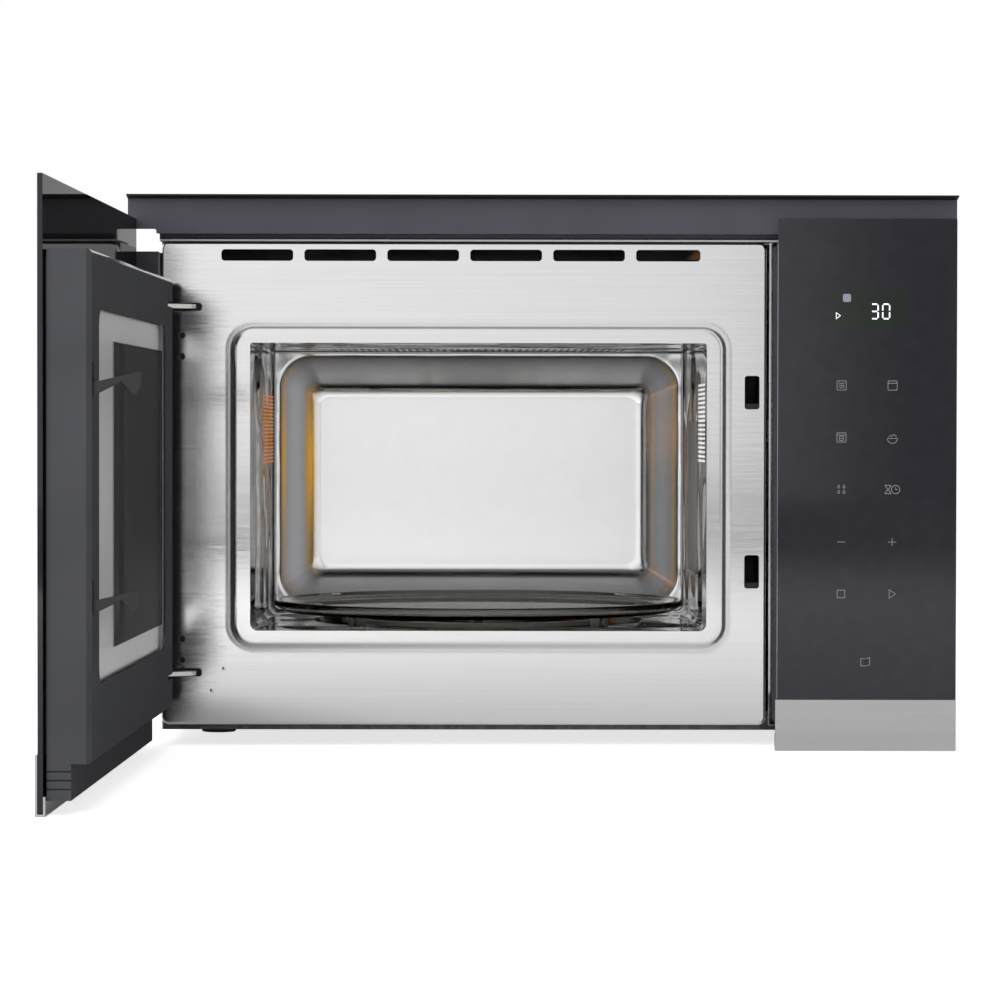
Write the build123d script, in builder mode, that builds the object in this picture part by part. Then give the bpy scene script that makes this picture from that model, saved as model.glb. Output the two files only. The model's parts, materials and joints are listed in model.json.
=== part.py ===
from build123d import *
import os

os.makedirs("parts", exist_ok=True)

# Built-in microwave oven, in millimetres. X runs to the right along the front, Y runs into the
# cabinet and Z is up. The origin is the middle of the front, where the cabinet's face meets its shelf.

# Front
front_width = 594.0
front_height = 382.0
front_drop = 8.5  # the front hangs this far below the shelf
front_proud = 20.0  # the glass stands this far ahead of the cabinet
glass_thickness = 3.2
panel_width = 128.4
front_gap = 3.1  # between the door and the control panel
strip_height = 36.8
strip_sheet = 1.5
strip_grip = 12.0  # height of the strip's fold behind the glass
strip_seat = 0.1  # play of the glass in the strip
strip_overhang = 1.4
glass_corner = 1.0

# Body
body_inset = 20.0  # casing's side from the end of the front
body_top_drop = 15.5  # casing's top below the top of the front
rear_room = 13.0  # rear panel behind the oven
case_sheet = 1.0
foot_height = 2.6
seam = 0.3  # play between the front plates and the casing's sides

# Face plate
plate_front = 14.4
plate_sheet = 1.2
plate_gap = 5.2  # from the control panel
plate_bottom = 7.0
plate_corner = 6.0
plate_bend = 2.0  # rounding of the fold round the plate
fold_depth = 12.0
ring_rise = 2.4  # raised ring round the oven
ring_side = 9.0  # width of the ring beside the oven
ring_above = 7.4
ring_corner = 12.2
ring_taper = 35.0
vent_count = 6
vent_gap = 8.2
vent_short = 5.3  # the last vent is shorter by this
vent_height = 8.3
vent_inset = 43.9
vent_right_inset = 48.5
vent_drop = 9.7
vent_corner = 2.5
hinge_slot_width = 21.4
hinge_slot_height = 5.8
hinge_slot_inset = 19.0
hinge_slot_corner = 2.0
latch_slot_width = 10.7
latch_slot_height = 24.3
latch_slot_corner = 2.0
screw_hole_radius = 2.35
screw_inset = 15.2
screw_below = 28.4  # middle of the upper screws under the upper hinge
screw_above = 16.6
screw_pitch = 15.3

# Oven, by its distances from the face plate's edges
oven_left_margin = 64.85
oven_right_margin = 43.75
oven_top_margin = 73.35
oven_bottom = 75.55  # floor of the oven above the shelf
oven_sheet = 1.2
oven_top_corner = 2.0
oven_floor_corner = 5.5
pan_depth = 24.0
pan_skirt = 14.0
pan_mouth_side = 3.0
pan_mouth_above = 2.5
pan_mouth_corner = 26.0
pan_slope_side = 27.25
pan_slope_above = 27.05
pan_panel_corner = 9.0
pan_mouth_round = 3.0
well_margin = 37.75
well_depth = 6.0
well_taper = 25.0
shaft_hole_radius = 7.0

# Perforated screens of the oven
hole_radius = 3.0
grill_margin = 43.75
grill_depth = 108.0
grill_rear_gap = 13.0
grill_hole_pitch = 17.0
lamp_screen_depth = 140.0
lamp_screen_height = 60.0
lamp_rear_gap = 9.0
lamp_drop = 62.65
lamp_hole_pitch = 14.0
inlet_depth = 88.0
inlet_height = 66.0
inlet_front_gap = 16.8
inlet_drop = 57.65
inlet_hole_pitch = 12.5

# Turntable
tray_side_gap = 8.25
tray_front_gap = 1.3
tray_rear_gap = 1.5
tray_rim = 9.0  # width of the sloping rim
tray_thickness = 4.0
tray_rim_rise = 5.0
tray_gap = 7.0  # underside of the tray above the oven floor
roller_gap = 0.2
roller_width = 8.0
roller_margin = 23.0  # track of the rollers inside the well
roller_bore_gap = 0.05
roller_axle_radius = 2.0
roller_side_gap = 1.0
axle_head_radius = 3.0
roller_count = 3
ring_band = 7.0
ring_thickness = 3.5
coupler_hub_radius = 9.0
coupler_lobe_reach = 17.0
coupler_lobe_radius = 5.0
coupler_thickness = 6.0
stem_radius = 3.5
stem_length = 18.0
shaft_gap = 0.05
motor_radius = 25.0
motor_height = 21.0

# Door
door_open = 91.4  # degrees from shut to the stop
hinge_inset = 8.8
hinge_behind = 8.0  # hinge axis behind the face of the glass
hinge_top_gap = 47.4
hinge_low_gap = 38.0
pin_radius = 2.5
pin_gap = 0.05
pin_length = 24.0
arm_sheet = 3.0
arm_gap = 0.3
arm_eye_radius = 4.2
arm_width = 14.0
arm_depth = 46.0
bond_thickness = 1.6
bond_inset = 5.0
bond_width = 8.0
frame_left_inset = 21.0
frame_right_inset = 4.5
frame_low_inset = 31.0
frame_top_inset = 44.5
frame_play = 0.5  # shut door from the raised ring
frame_wall = 2.5
frame_chamfer = 3.0
frame_edge_round = 3.0
knuckle_inset = 4.0
knuckle_play = 1.6  # from the mounting flange
skirt_inset = 20.0
skirt_rise = 9.1
skirt_play = 0.6  # ahead of the cabinet
rib_count = 3
rib_height = 1.0
rib_depth = 1.6
rib_pitch = 5.3
rib_drop = 4.5  # first groove under the frame's lower edge
window_side = 12.75  # window beyond the oven's mouth
window_above = 8.95
window_shift = 7.4
window_lift = 0.9
window_corner = 12.0
pane_recess = 0.9
pane_thickness = 3.2
pane_seat = 6.0  # how far the pane runs under the frame
pane_play = 0.4
plate_margin = 8.0
screen_sheet = 0.8

# Latch
latch_inset = 10.7  # hooks from the face plate's right edge
latch_rise = 68.9  # upper hook above the oven's middle
latch_fall = 61.4
latch_travel = 4.5
hook_reach = 29.0
hook_thickness = 4.5
hook_root = 8.0
hook_tip = 7.3  # half height of the barb
hook_rise = 8.5  # the arm's lower edge climbs this much to the barb
hook_barb = 17.4  # from the door to the notch behind the barb
hook_point = 24.4  # from the door to the barb's point
hook_nose = 28.4
hook_nose_rise = 4.4
slit_gap = 0.8
slit_room = 7.5  # slit above the hook when it is lifted
bar_width = 7.0
bar_depth = 8.0
guide_gap = 0.4
guide_wall = 2.0
catch_gap = 0.8

# Top rail and mounting flanges
rail_back = -1.8
rail_sheet = 1.2
rail_gap = 4.9  # under the rail's face
rail_height = 25.9
rail_over = 2.0  # the rail runs this far past each end of the front
rail_riser = 8.0  # depth of the step behind the rail's face
rail_lip_reach = 8.0
rail_lip_rise = 2.0
rail_lip_flare = 0.4
rail_foot = 34.0
rail_notch_width = 20.5
rail_notch_height = 3.2
flange_sheet = 1.4
flange_width = 19.0
flange_return = 60.0
flange_bottom = 20.0
flange_top_gap = 8.0
flange_hole_radius = 2.25
flange_hole_inset = 11.0
flange_hole_pitch = 170.0

# Control panel
housing_wall = 2.0
housing_inset = 1.2
housing_edge = 2.0  # above and below, inside the carrier
wing_play = 1.8  # from the mounting flange
display_width = 57.4
display_height = 28.7
display_inset = 63.7
display_drop = 64.5
display_depth = 6.0
board_sheet = 1.6
touch_board_width = 80.0
touch_board_rise = 48.5
touch_board_gap = 4.65
carrier_gap = 1.6

# Inside the casing
magnetron_width = 84.0
magnetron_depth = 80.0
magnetron_height = 72.0
magnetron_fins = 6
fin_sheet = 1.2
antenna_radius = 9.0
antenna_reach = 20.0
antenna_gap = 1.0
guide_width = 34.0
guide_depth = 104.0
guide_height = 118.0
guide_clear = 6.0  # between the air inlet and the waveguide
guide_drop = 9.6
guide_sheet = 1.2
feed_depth = 84.0
feed_height = 98.0
mica_thickness = 1.0
mica_lap = 9.0
core_width = 60.0
core_depth = 86.0
core_height = 74.0
coil_bulge = 18.0
coil_depth = 60.0
coil_height = 52.0
transformer_inset = 62.0
transformer_behind = 109.0
capacitor_length = 92.0
capacitor_width = 52.0
capacitor_thickness = 33.0
capacitor_ahead = 98.0  # of the transformer
filter_width = 84.0
filter_depth = 56.0
filter_inset = 40.0  # under the oven, from its right wall
filter_y = 70.0
control_board_depth = 150.0
control_board_height = 170.0
control_board_y = 130.0
control_board_z = 130.0
standoff = 8.0
# Parts on the boards: place across and up the board, width, height and rise
filter_parts = [(-18, 0, 30, 30, 22), (22, 6, 26, 18, 15)]
control_parts = [(-45, 50, 30, 16, 20), (-45, 20, 30, 16, 20), (30, -40, 44, 38, 18), (25, 45, 36, 24, 4)]
fan_inset = 77.0
fan_drop = 96.0
fan_radius = 48.0
fan_tip_gap = 3.0
fan_hub_radius = 15.0
fan_hub_length = 16.0
fan_blades = 7
blade_chord = 19.0
blade_sheet = 1.6
blade_root_radius = 12.0
blade_pitch = 52.0
shroud_side = 118.0
shroud_depth = 22.0
shroud_sheet = 3.0
fan_motor_side = 46.0
fan_motor_depth = 26.0
fan_motor_gap = 5.0
fan_shaft_radius = 2.5
fan_shaft_length = 20.0
strut_width = 8.0
lamp_box_margin = 5.0  # round the lamp's screen
lamp_box_width = 44.0
lamp_radius = 11.0
lamp_length = 26.0
lamp_nose = 6.0
reflector_rise = 34.0
grill_tube_radius = 5.5
grill_tube_spread = 50.0
holder_side = 16.0
exhaust_rise = 9.0
exhaust_depth = 60.0
duct_width = 18.0
duct_wall = 1.5
bracket_wall = 4.0
bracket_depth = 34.0
switch_width = 10.0
switch_depth = 27.0
switch_height = 16.0
gland_radius = 9.0
gland_bore = 4.2
gland_length = 18.0
gland_flange = 13.0
gland_inset = 42.0
gland_z = 60.0
grille_slots = 9
grille_slot_height = 5.0
grille_pitch = 11.0
runner_width = 40.0
runner_wide = 55.0
runner_inset = 239.5
runner_wide_inset = 95.5
runner_margin = 20.3
runner_taper = 30.0
foot_radius = 12.5
foot_inset = 40.5
foot_front_gap = 15.6
foot_rear_gap = 37.0
base_lip = 14.0

# Places of the front, the body and the face plate
front_face = -front_proud
front_left = -front_width / 2
front_right = front_width / 2
front_bottom = -front_drop
front_top = front_bottom + front_height
glass_back = front_face + glass_thickness
panel_left = front_right - panel_width
door_right = panel_left - front_gap
body_width = front_width - 2 * body_inset
body_left = -body_width / 2
body_right = body_width / 2
body_top = front_top - body_top_drop
case_front = plate_front + fold_depth
plate_left = body_left + seam
plate_right = panel_left - plate_gap
plate_top = body_top
plate_back = plate_front + plate_sheet
plate_width = plate_right - plate_left
plate_height = plate_top - plate_bottom
ring_front = plate_front - ring_rise
ring_back = ring_front + plate_sheet
vent_left = plate_left + vent_inset
vent_run = plate_width - vent_inset - vent_right_inset
vent_width = (vent_run + vent_short - (vent_count - 1) * vent_gap) / vent_count
vent_pitch = vent_width + vent_gap
vent_level = plate_top - vent_drop
hinge_slot_x = plate_left + hinge_slot_inset
screw_hole_x = plate_left + screw_inset
carrier_left = plate_right + carrier_gap

# Places of the oven and its turntable
oven_left = plate_left + oven_left_margin
oven_right = plate_right - oven_right_margin
oven_top = plate_top - oven_top_margin
oven_width = oven_right - oven_left
oven_height = oven_top - oven_bottom
oven_x = (oven_left + oven_right) / 2
oven_z = (oven_bottom + oven_top) / 2
wall_outside = oven_right + oven_sheet
tray_radius = oven_width / 2 - tray_side_gap
tray_base_radius = tray_radius - tray_rim
tray_y = ring_back + tray_front_gap + tray_radius
tray_bottom = oven_bottom + tray_gap
well_radius = oven_width / 2 - well_margin
well_floor = oven_bottom - well_depth
roller_track = well_radius - roller_margin
roller_z = (well_floor + tray_bottom) / 2
roller_radius = (tray_bottom - well_floor) / 2 - roller_gap
pan_flange = tray_y + tray_radius + tray_rear_gap
pan_back = pan_flange + pan_depth
pan_mouth_width = oven_width - 2 * pan_mouth_side
pan_mouth_height = oven_height - 2 * pan_mouth_above
pan_panel_width = pan_mouth_width - 2 * pan_slope_side
pan_panel_height = pan_mouth_height - 2 * pan_slope_above
wrap_back = pan_flange - pan_skirt
grill_width = oven_width - 2 * grill_margin
grill_y = wrap_back - grill_rear_gap - grill_depth / 2
lamp_screen_y = wrap_back - lamp_rear_gap - lamp_screen_depth / 2
lamp_screen_z = oven_top - lamp_drop
lamp_box_depth = lamp_screen_depth + 2 * lamp_box_margin
lamp_box_height = lamp_screen_height + 2 * lamp_box_margin
inlet_y = ring_back + inlet_front_gap + inlet_depth / 2
inlet_z = oven_top - inlet_drop
guide_y = inlet_y + (inlet_depth + guide_depth) / 2 + guide_clear
guide_z = oven_z - guide_drop

# Places of the casing and what it holds
body_depth = pan_back + rear_room
rear_inside = body_depth - case_sheet
base_bottom = foot_height
base_inside = base_bottom + case_sheet
runner_x = body_left + runner_inset
runner_wide_x = body_left + runner_wide_inset
runner_length = rear_inside - case_front - 2 * runner_margin
foot_x = body_right - foot_inset
foot_front_y = case_front + foot_front_gap
foot_rear_y = rear_inside - foot_rear_gap
gland_x = body_right - gland_inset
fan_x = body_right - fan_inset
fan_z = body_top - fan_drop
transformer_x = body_right - transformer_inset
transformer_y = rear_inside - transformer_behind
capacitor_x = transformer_x
capacitor_y = transformer_y - capacitor_ahead
filter_x = oven_right - filter_inset
rail_bottom = body_top + rail_gap
rail_top = rail_bottom + rail_height
flange_reach = body_right + flange_width
flange_top = body_top - flange_top_gap
flange_hole_x = body_right + flange_hole_inset

# Places of the control panel and the door
housing_bottom = plate_bottom + housing_edge
housing_top = body_top - housing_edge
housing_wing_back = -flange_sheet - wing_play
display_x = front_right - display_inset
display_z = front_top - display_drop
touch_board_bottom = front_bottom + touch_board_rise
touch_board_top = display_z - display_height / 2 - touch_board_gap
hinge_x = front_left + hinge_inset
hinge_y = front_face + hinge_behind
hinge_upper = plate_top - hinge_top_gap
hinge_lower = plate_bottom + hinge_low_gap
frame_left = front_left + frame_left_inset
frame_right = door_right - frame_right_inset
frame_bottom = front_bottom + frame_low_inset
frame_top = front_top - frame_top_inset
frame_back = ring_front - frame_play
frame_front = glass_back + bond_thickness
knuckle_left = front_left + knuckle_inset
knuckle_back = -flange_sheet - knuckle_play
skirt_left = frame_left + skirt_inset
skirt_bottom = front_bottom + skirt_rise
skirt_back = -skirt_play
window_width = oven_width + 2 * window_side
window_height = oven_height + 2 * window_above
window_x = oven_x - window_shift
window_z = oven_z + window_lift
pane_back = frame_back - pane_recess
pane_front = pane_back - pane_thickness
latch_x = plate_right - latch_inset
latch_upper = oven_z + latch_rise
latch_lower = oven_z - latch_fall


def facing(depth):
    """An upright plane at this depth whose sketch shows X and Z as seen from the front."""
    return Plane(origin=(0, depth, 0), x_dir=(1, 0, 0), z_dir=(0, -1, 0))


def side(x, y=0, z=0):
    """An upright plane through this point whose sketch shows Y and Z."""
    return Plane(origin=(x, y, z), x_dir=(0, 1, 0), z_dir=(1, 0, 0))


def level(height):
    """A horizontal plane at this height."""
    return Plane.XY.offset(height)


def block(x_range, y_range, z_range, mode=Mode.ADD):
    """A box between its six faces."""
    sizes = [high - low for low, high in (x_range, y_range, z_range)]
    middle = [(low + high) / 2 for low, high in (x_range, y_range, z_range)]
    with Locations(tuple(middle)):
        Box(*sizes, mode=mode)


def oven_section(depth, grow):
    """The oven's cross-section at this depth, grown outward, with rounder corners at the floor."""
    with BuildSketch(facing(depth)) as section:
        with Locations((oven_x, oven_z)):
            Rectangle(oven_width + 2 * grow, oven_height + 2 * grow)
        fillet(section.vertices().group_by(Axis.Y)[-1], oven_top_corner + grow)
        fillet(section.vertices().group_by(Axis.Y)[0], oven_floor_corner + grow)
    return section.sketch


# Face plate: a shallow steel tray with a raised ring round the oven
plate_centre = ((plate_left + plate_right) / 2, (plate_bottom + plate_top) / 2)
ring_width = oven_width + 2 * ring_side
ring_height = oven_height + 2 * ring_above
hinge_levels = (hinge_lower, hinge_upper)
latch_levels = (latch_lower, latch_upper)
with BuildPart() as face_plate:
    with BuildSketch(facing(plate_front + fold_depth)):
        with Locations(plate_centre):
            RectangleRounded(plate_width, plate_height, plate_corner)
    extrude(amount=fold_depth)
    fillet(face_plate.faces().sort_by(Axis.Y)[0].edges(), plate_bend)
    with BuildSketch(facing(plate_front + fold_depth)):
        with Locations(plate_centre):
            RectangleRounded(
                plate_width - 2 * plate_sheet, plate_height - 2 * plate_sheet, plate_corner - plate_sheet
            )
    extrude(amount=fold_depth - plate_sheet, mode=Mode.SUBTRACT)
    with BuildSketch(facing(plate_front)):
        with Locations((oven_x, oven_z)):
            RectangleRounded(ring_width, ring_height, ring_corner)
    extrude(amount=ring_rise, taper=ring_taper)
    with BuildSketch(facing(plate_back)):
        with Locations((oven_x, oven_z)):
            RectangleRounded(ring_width - 2 * plate_sheet, ring_height - 2 * plate_sheet, ring_corner)
    extrude(amount=ring_rise, taper=ring_taper, mode=Mode.SUBTRACT)
    extrude(oven_section(plate_front + fold_depth, 0), amount=fold_depth + 2 * ring_rise, mode=Mode.SUBTRACT)
    with BuildSketch(facing(plate_back)):
        for index in range(vent_count):
            width = vent_width - vent_short if index == vent_count - 1 else vent_width
            with Locations((vent_left + index * vent_pitch + width / 2, vent_level)):
                RectangleRounded(width, vent_height, vent_corner)
        for height in hinge_levels:
            with Locations((hinge_slot_x, height)):
                RectangleRounded(hinge_slot_width, hinge_slot_height, hinge_slot_corner)
        for height in latch_levels:
            with Locations((latch_x, height)):
                RectangleRounded(latch_slot_width, latch_slot_height, latch_slot_corner)
        for middle in (hinge_lower + screw_above, hinge_upper - screw_below):
            for offset in (-screw_pitch / 2, screw_pitch / 2):
                with Locations((screw_hole_x, middle + offset)):
                    Circle(screw_hole_radius)
    extrude(amount=plate_sheet, mode=Mode.SUBTRACT)

# Steel carrier behind the control panel, whose edge shows beside the face plate
carrier_width = body_right - seam - carrier_left
carrier_centre = (carrier_left + carrier_width / 2, (plate_bottom + plate_top) / 2)
with BuildPart() as panel_carrier:
    with BuildSketch(facing(plate_front + fold_depth)):
        with Locations(carrier_centre):
            Rectangle(carrier_width, plate_height)
    extrude(amount=fold_depth)
    with BuildSketch(facing(plate_front + fold_depth)):
        with Locations(carrier_centre):
            Rectangle(carrier_width - 2 * plate_sheet, plate_height - 2 * plate_sheet)
    extrude(amount=fold_depth - plate_sheet, mode=Mode.SUBTRACT)

# Oven wrap: ceiling and sides folded from one sheet, with windows for the perforated screens
floor_width = oven_width - 2 * oven_floor_corner
with BuildPart() as cavity_wrap:
    extrude(oven_section(wrap_back, oven_sheet), amount=wrap_back - ring_back)
    extrude(oven_section(wrap_back, 0), amount=wrap_back - ring_back, mode=Mode.SUBTRACT)
    with BuildSketch(facing(wrap_back)):
        with Locations((oven_x, oven_bottom - oven_sheet / 2)):
            Rectangle(floor_width, oven_sheet)
    extrude(amount=wrap_back - ring_back, mode=Mode.SUBTRACT)
    with BuildSketch(level(oven_top)):
        with Locations((oven_x, grill_y)):
            Rectangle(grill_width, grill_depth)
    extrude(amount=oven_sheet, mode=Mode.SUBTRACT)
    with BuildSketch(side(oven_left - oven_sheet)):
        with Locations((lamp_screen_y, lamp_screen_z)):
            Rectangle(lamp_screen_depth, lamp_screen_height)
    extrude(amount=oven_sheet, mode=Mode.SUBTRACT)
    with BuildSketch(side(oven_right)):
        with Locations((inlet_y, inlet_z)):
            Rectangle(inlet_depth, inlet_height)
        with Locations((guide_y, guide_z)):
            Rectangle(feed_depth, feed_height)
    extrude(amount=oven_sheet, mode=Mode.SUBTRACT)


def perforated(plane, width, height, pitch):
    """A rectangle with staggered rows of six-sided holes that keep clear of its edges."""
    with BuildSketch(plane) as sheet:
        Rectangle(width, height)
        columns = int((width - pitch) / pitch)
        rows = int((height - pitch) / (2 * pitch))
        with GridLocations(pitch, 2 * pitch, columns, rows):
            RegularPolygon(hole_radius, 6, mode=Mode.SUBTRACT)
        with GridLocations(pitch, 2 * pitch, columns - 1, rows + 1):
            RegularPolygon(hole_radius, 6, mode=Mode.SUBTRACT)
    return sheet.sketch


# Perforated screens, flush with the ceiling and the side walls
with BuildPart() as grill_screen:
    grill_plane = Plane(origin=(oven_x, grill_y, oven_top))
    extrude(perforated(grill_plane, grill_width, grill_depth, grill_hole_pitch), amount=oven_sheet)
with BuildPart() as lamp_screen:
    lamp_plane = side(oven_left - oven_sheet, lamp_screen_y, lamp_screen_z)
    extrude(perforated(lamp_plane, lamp_screen_depth, lamp_screen_height, lamp_hole_pitch), amount=oven_sheet)
with BuildPart() as inlet_screen:
    inlet_plane = side(oven_right, inlet_y, inlet_z)
    extrude(perforated(inlet_plane, inlet_depth, inlet_height, inlet_hole_pitch), amount=oven_sheet)

# Oven floor with a drawn well that the rollers run in
with BuildPart() as cavity_floor:
    with BuildSketch(level(oven_bottom - oven_sheet)):
        with Locations((oven_x, (ring_back + wrap_back) / 2)):
            Rectangle(floor_width, wrap_back - ring_back)
    extrude(amount=oven_sheet)
    with BuildSketch(level(oven_bottom - oven_sheet)):
        with Locations((oven_x, tray_y)):
            Circle(well_radius + oven_sheet)
    extrude(amount=-well_depth, taper=well_taper)
    with BuildSketch(level(oven_bottom)):
        with Locations((oven_x, tray_y)):
            Circle(well_radius)
    extrude(amount=-well_depth, taper=well_taper, mode=Mode.SUBTRACT)
    with BuildSketch(level(oven_bottom)):
        with Locations((oven_x, tray_y)):
            Circle(shaft_hole_radius)
    extrude(amount=-2 * well_depth, mode=Mode.SUBTRACT)


def pan_section(depth, width, height, corner):
    """A rounded rectangle on the oven's axis at this depth."""
    with BuildSketch(facing(depth)) as section:
        with Locations((oven_x, oven_z)):
            RectangleRounded(width, height, corner)
    return section.sketch


# Rear pan of the oven: a short skirt, a narrow flange, and a drawn panel with sloping sides
grow = 2 * oven_sheet
with BuildPart() as cavity_back:
    extrude(oven_section(pan_flange + oven_sheet, oven_sheet), amount=pan_skirt + oven_sheet)
    extrude(oven_section(pan_flange, 0), amount=pan_skirt, mode=Mode.SUBTRACT)
    loft(
        [
            pan_section(pan_flange, pan_mouth_width + grow, pan_mouth_height + grow, pan_mouth_corner),
            pan_section(
                pan_back + oven_sheet, pan_panel_width + grow, pan_panel_height + grow, pan_panel_corner
            ),
        ]
    )
    loft(
        [
            pan_section(pan_flange, pan_mouth_width, pan_mouth_height, pan_mouth_corner),
            pan_section(pan_back, pan_panel_width, pan_panel_height, pan_panel_corner),
        ],
        mode=Mode.SUBTRACT,
    )
    flange_face = cavity_back.faces().filter_by(Axis.Y).sort_by(Axis.Y)[1]
    fillet(flange_face.inner_wires()[0].edges(), pan_mouth_round)

# Mica cover over the microwave feed in the right wall
with BuildPart() as waveguide_cover:
    with BuildSketch(side(oven_right - mica_thickness)):
        with Locations((guide_y, guide_z)):
            RectangleRounded(feed_depth + 2 * mica_lap, feed_height + 2 * mica_lap, mica_lap / 2)
    extrude(amount=mica_thickness)

# Outer casing: top and sides from one sheet
with BuildPart() as outer_casing:
    block((body_left, body_right), (case_front, body_depth), (base_bottom, body_top))
    inside = (body_left + case_sheet, body_right - case_sheet)
    block(inside, (case_front, body_depth), (base_bottom, body_top - case_sheet), mode=Mode.SUBTRACT)

# Base plate with pressed runners and an upturned lip
with BuildPart() as base_plate:
    with BuildSketch(level(base_bottom)):
        with Locations((0, (case_front + rear_inside) / 2)):
            Rectangle(body_width - 2 * case_sheet, rear_inside - case_front)
    extrude(amount=base_lip)
    with BuildSketch(level(base_inside)):
        with Locations((0, (case_front + rear_inside) / 2)):
            Rectangle(body_width - 4 * case_sheet, rear_inside - case_front - 2 * case_sheet)
    extrude(amount=base_lip, mode=Mode.SUBTRACT)
    with BuildSketch(level(base_bottom)):
        for x, width in ((runner_x, runner_width), (runner_wide_x, runner_wide)):
            with Locations((x, (case_front + rear_inside) / 2)):
                Rectangle(width, runner_length)
    extrude(amount=-(foot_height - case_sheet), taper=runner_taper)

# Feet
with BuildPart() as feet:
    with BuildSketch(level(0)):
        for x in (-foot_x, foot_x):
            for y in (foot_front_y, foot_rear_y):
                with Locations((x, y)):
                    Circle(foot_radius)
    extrude(amount=foot_height)
    chamfer(feet.edges().filter_by(GeomType.CIRCLE).group_by(Axis.Z)[0], foot_height / 4)

# Rear panel with the fan's grille and the hole for the cord gland
with BuildPart() as rear_panel:
    with BuildSketch(facing(body_depth)):
        with Locations((0, (base_bottom + body_top - case_sheet) / 2)):
            Rectangle(body_width - 2 * case_sheet, body_top - case_sheet - base_bottom)
        with Locations((fan_x, fan_z)):
            with GridLocations(0, grille_pitch, 1, grille_slots):
                SlotOverall(2 * fan_radius, grille_slot_height, mode=Mode.SUBTRACT)
        with Locations((gland_x, gland_z)):
            Circle(gland_radius, mode=Mode.SUBTRACT)
    extrude(amount=case_sheet)

# Cord gland
with BuildPart() as cord_gland:
    with BuildSketch(facing(body_depth + gland_length / 2)):
        with Locations((gland_x, gland_z)):
            Circle(gland_radius)
    extrude(amount=gland_length)
    with BuildSketch(facing(body_depth + 2 * case_sheet)):
        with Locations((gland_x, gland_z)):
            Circle(gland_flange)
    extrude(amount=2 * case_sheet)
    with BuildSketch(facing(body_depth + gland_length / 2)):
        with Locations((gland_x, gland_z)):
            Circle(gland_bore)
    extrude(amount=gland_length, mode=Mode.SUBTRACT)


# Top rail: a foot on the casing, a step, an upright face and a lip that leans forward
rail_front = rail_back - rail_sheet
rail_width = front_width + 2 * rail_over
with BuildPart() as top_rail:
    with BuildSketch(side(body_left)):
        with BuildLine():
            Polyline(
                (case_front + rail_foot, body_top),
                (rail_riser, body_top),
                (rail_riser, rail_bottom),
                (rail_front, rail_bottom),
                (rail_front, rail_bottom + rail_sheet),
                (rail_riser + rail_sheet, rail_bottom + rail_sheet),
                (rail_riser + rail_sheet, body_top + rail_sheet),
                (case_front + rail_foot, body_top + rail_sheet),
                close=True,
            )
        make_face()
    extrude(amount=body_width)
    with BuildSketch(facing(rail_back)):
        with Locations((0, (rail_bottom + rail_top) / 2)):
            Rectangle(rail_width, rail_top - rail_bottom)
        for end in (-rail_width / 2, rail_width / 2):
            with Locations((end, rail_bottom)):
                RectangleRounded(
                    2 * rail_notch_width, 2 * rail_notch_height, rail_notch_height / 2, mode=Mode.SUBTRACT
                )
    extrude(amount=rail_sheet)
    with BuildSketch(facing(rail_back)) as lip_root:
        with Locations((0, rail_top - rail_sheet / 2)):
            Rectangle(rail_width, rail_sheet)
    with BuildSketch(facing(rail_front - rail_lip_reach)) as lip_edge:
        with Locations((0, rail_top + rail_lip_rise - rail_sheet / 2)):
            Rectangle(rail_width + 2 * rail_lip_flare, rail_sheet)
    loft()

# Mounting flanges, with holes for the screws into the cabinet
flange_height = flange_top - flange_bottom
flange_z = (flange_bottom + flange_top) / 2
arm_slot = arm_sheet + 2 * arm_gap
with BuildPart() as flange_right:
    with BuildSketch(level(flange_bottom)):
        with BuildLine():
            Polyline(
                (body_right, -flange_sheet),
                (flange_reach, -flange_sheet),
                (flange_reach, 0),
                (body_right + flange_sheet, 0),
                (body_right + flange_sheet, flange_return),
                (body_right, flange_return),
                close=True,
            )
        make_face()
    extrude(amount=flange_height)
    with BuildSketch(facing(0)):
        with Locations((flange_hole_x, flange_z)):
            with GridLocations(0, flange_hole_pitch, 1, 2):
                Circle(flange_hole_radius)
    extrude(amount=flange_sheet, mode=Mode.SUBTRACT)
with BuildPart() as flange_left:
    mirror(flange_right.part, about=Plane.YZ)
    for height in hinge_levels:
        notch = (height - 2 * arm_slot, height + 2 * arm_slot)
        block((hinge_x, body_left), (-flange_sheet, arm_width / 2), notch, mode=Mode.SUBTRACT)


def strip_profile(x):
    """The folded strip under a glass edge: a tall front, a bottom and a short fold behind the glass."""
    inner_front = front_face - strip_seat
    inner_back = glass_back + strip_seat
    with BuildSketch(side(x)) as profile:
        with BuildLine():
            Polyline(
                (inner_front - strip_sheet, front_bottom),
                (inner_back + strip_sheet, front_bottom),
                (inner_back + strip_sheet, front_bottom + strip_grip),
                (inner_back, front_bottom + strip_grip),
                (inner_back, front_bottom + strip_sheet),
                (inner_front, front_bottom + strip_sheet),
                (inner_front, front_bottom + strip_height),
                (inner_front - strip_sheet, front_bottom + strip_height),
                close=True,
            )
        make_face()
    return profile.sketch


def glass_pane(left, right):
    """The outline of a front pane, from inside its strip to the top of the front."""
    low = front_bottom + strip_sheet
    with BuildSketch(facing(glass_back)) as pane:
        with Locations(((left + right) / 2, (low + front_top) / 2)):
            RectangleRounded(right - left, front_top - low, glass_corner)
    return pane.sketch


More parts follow.
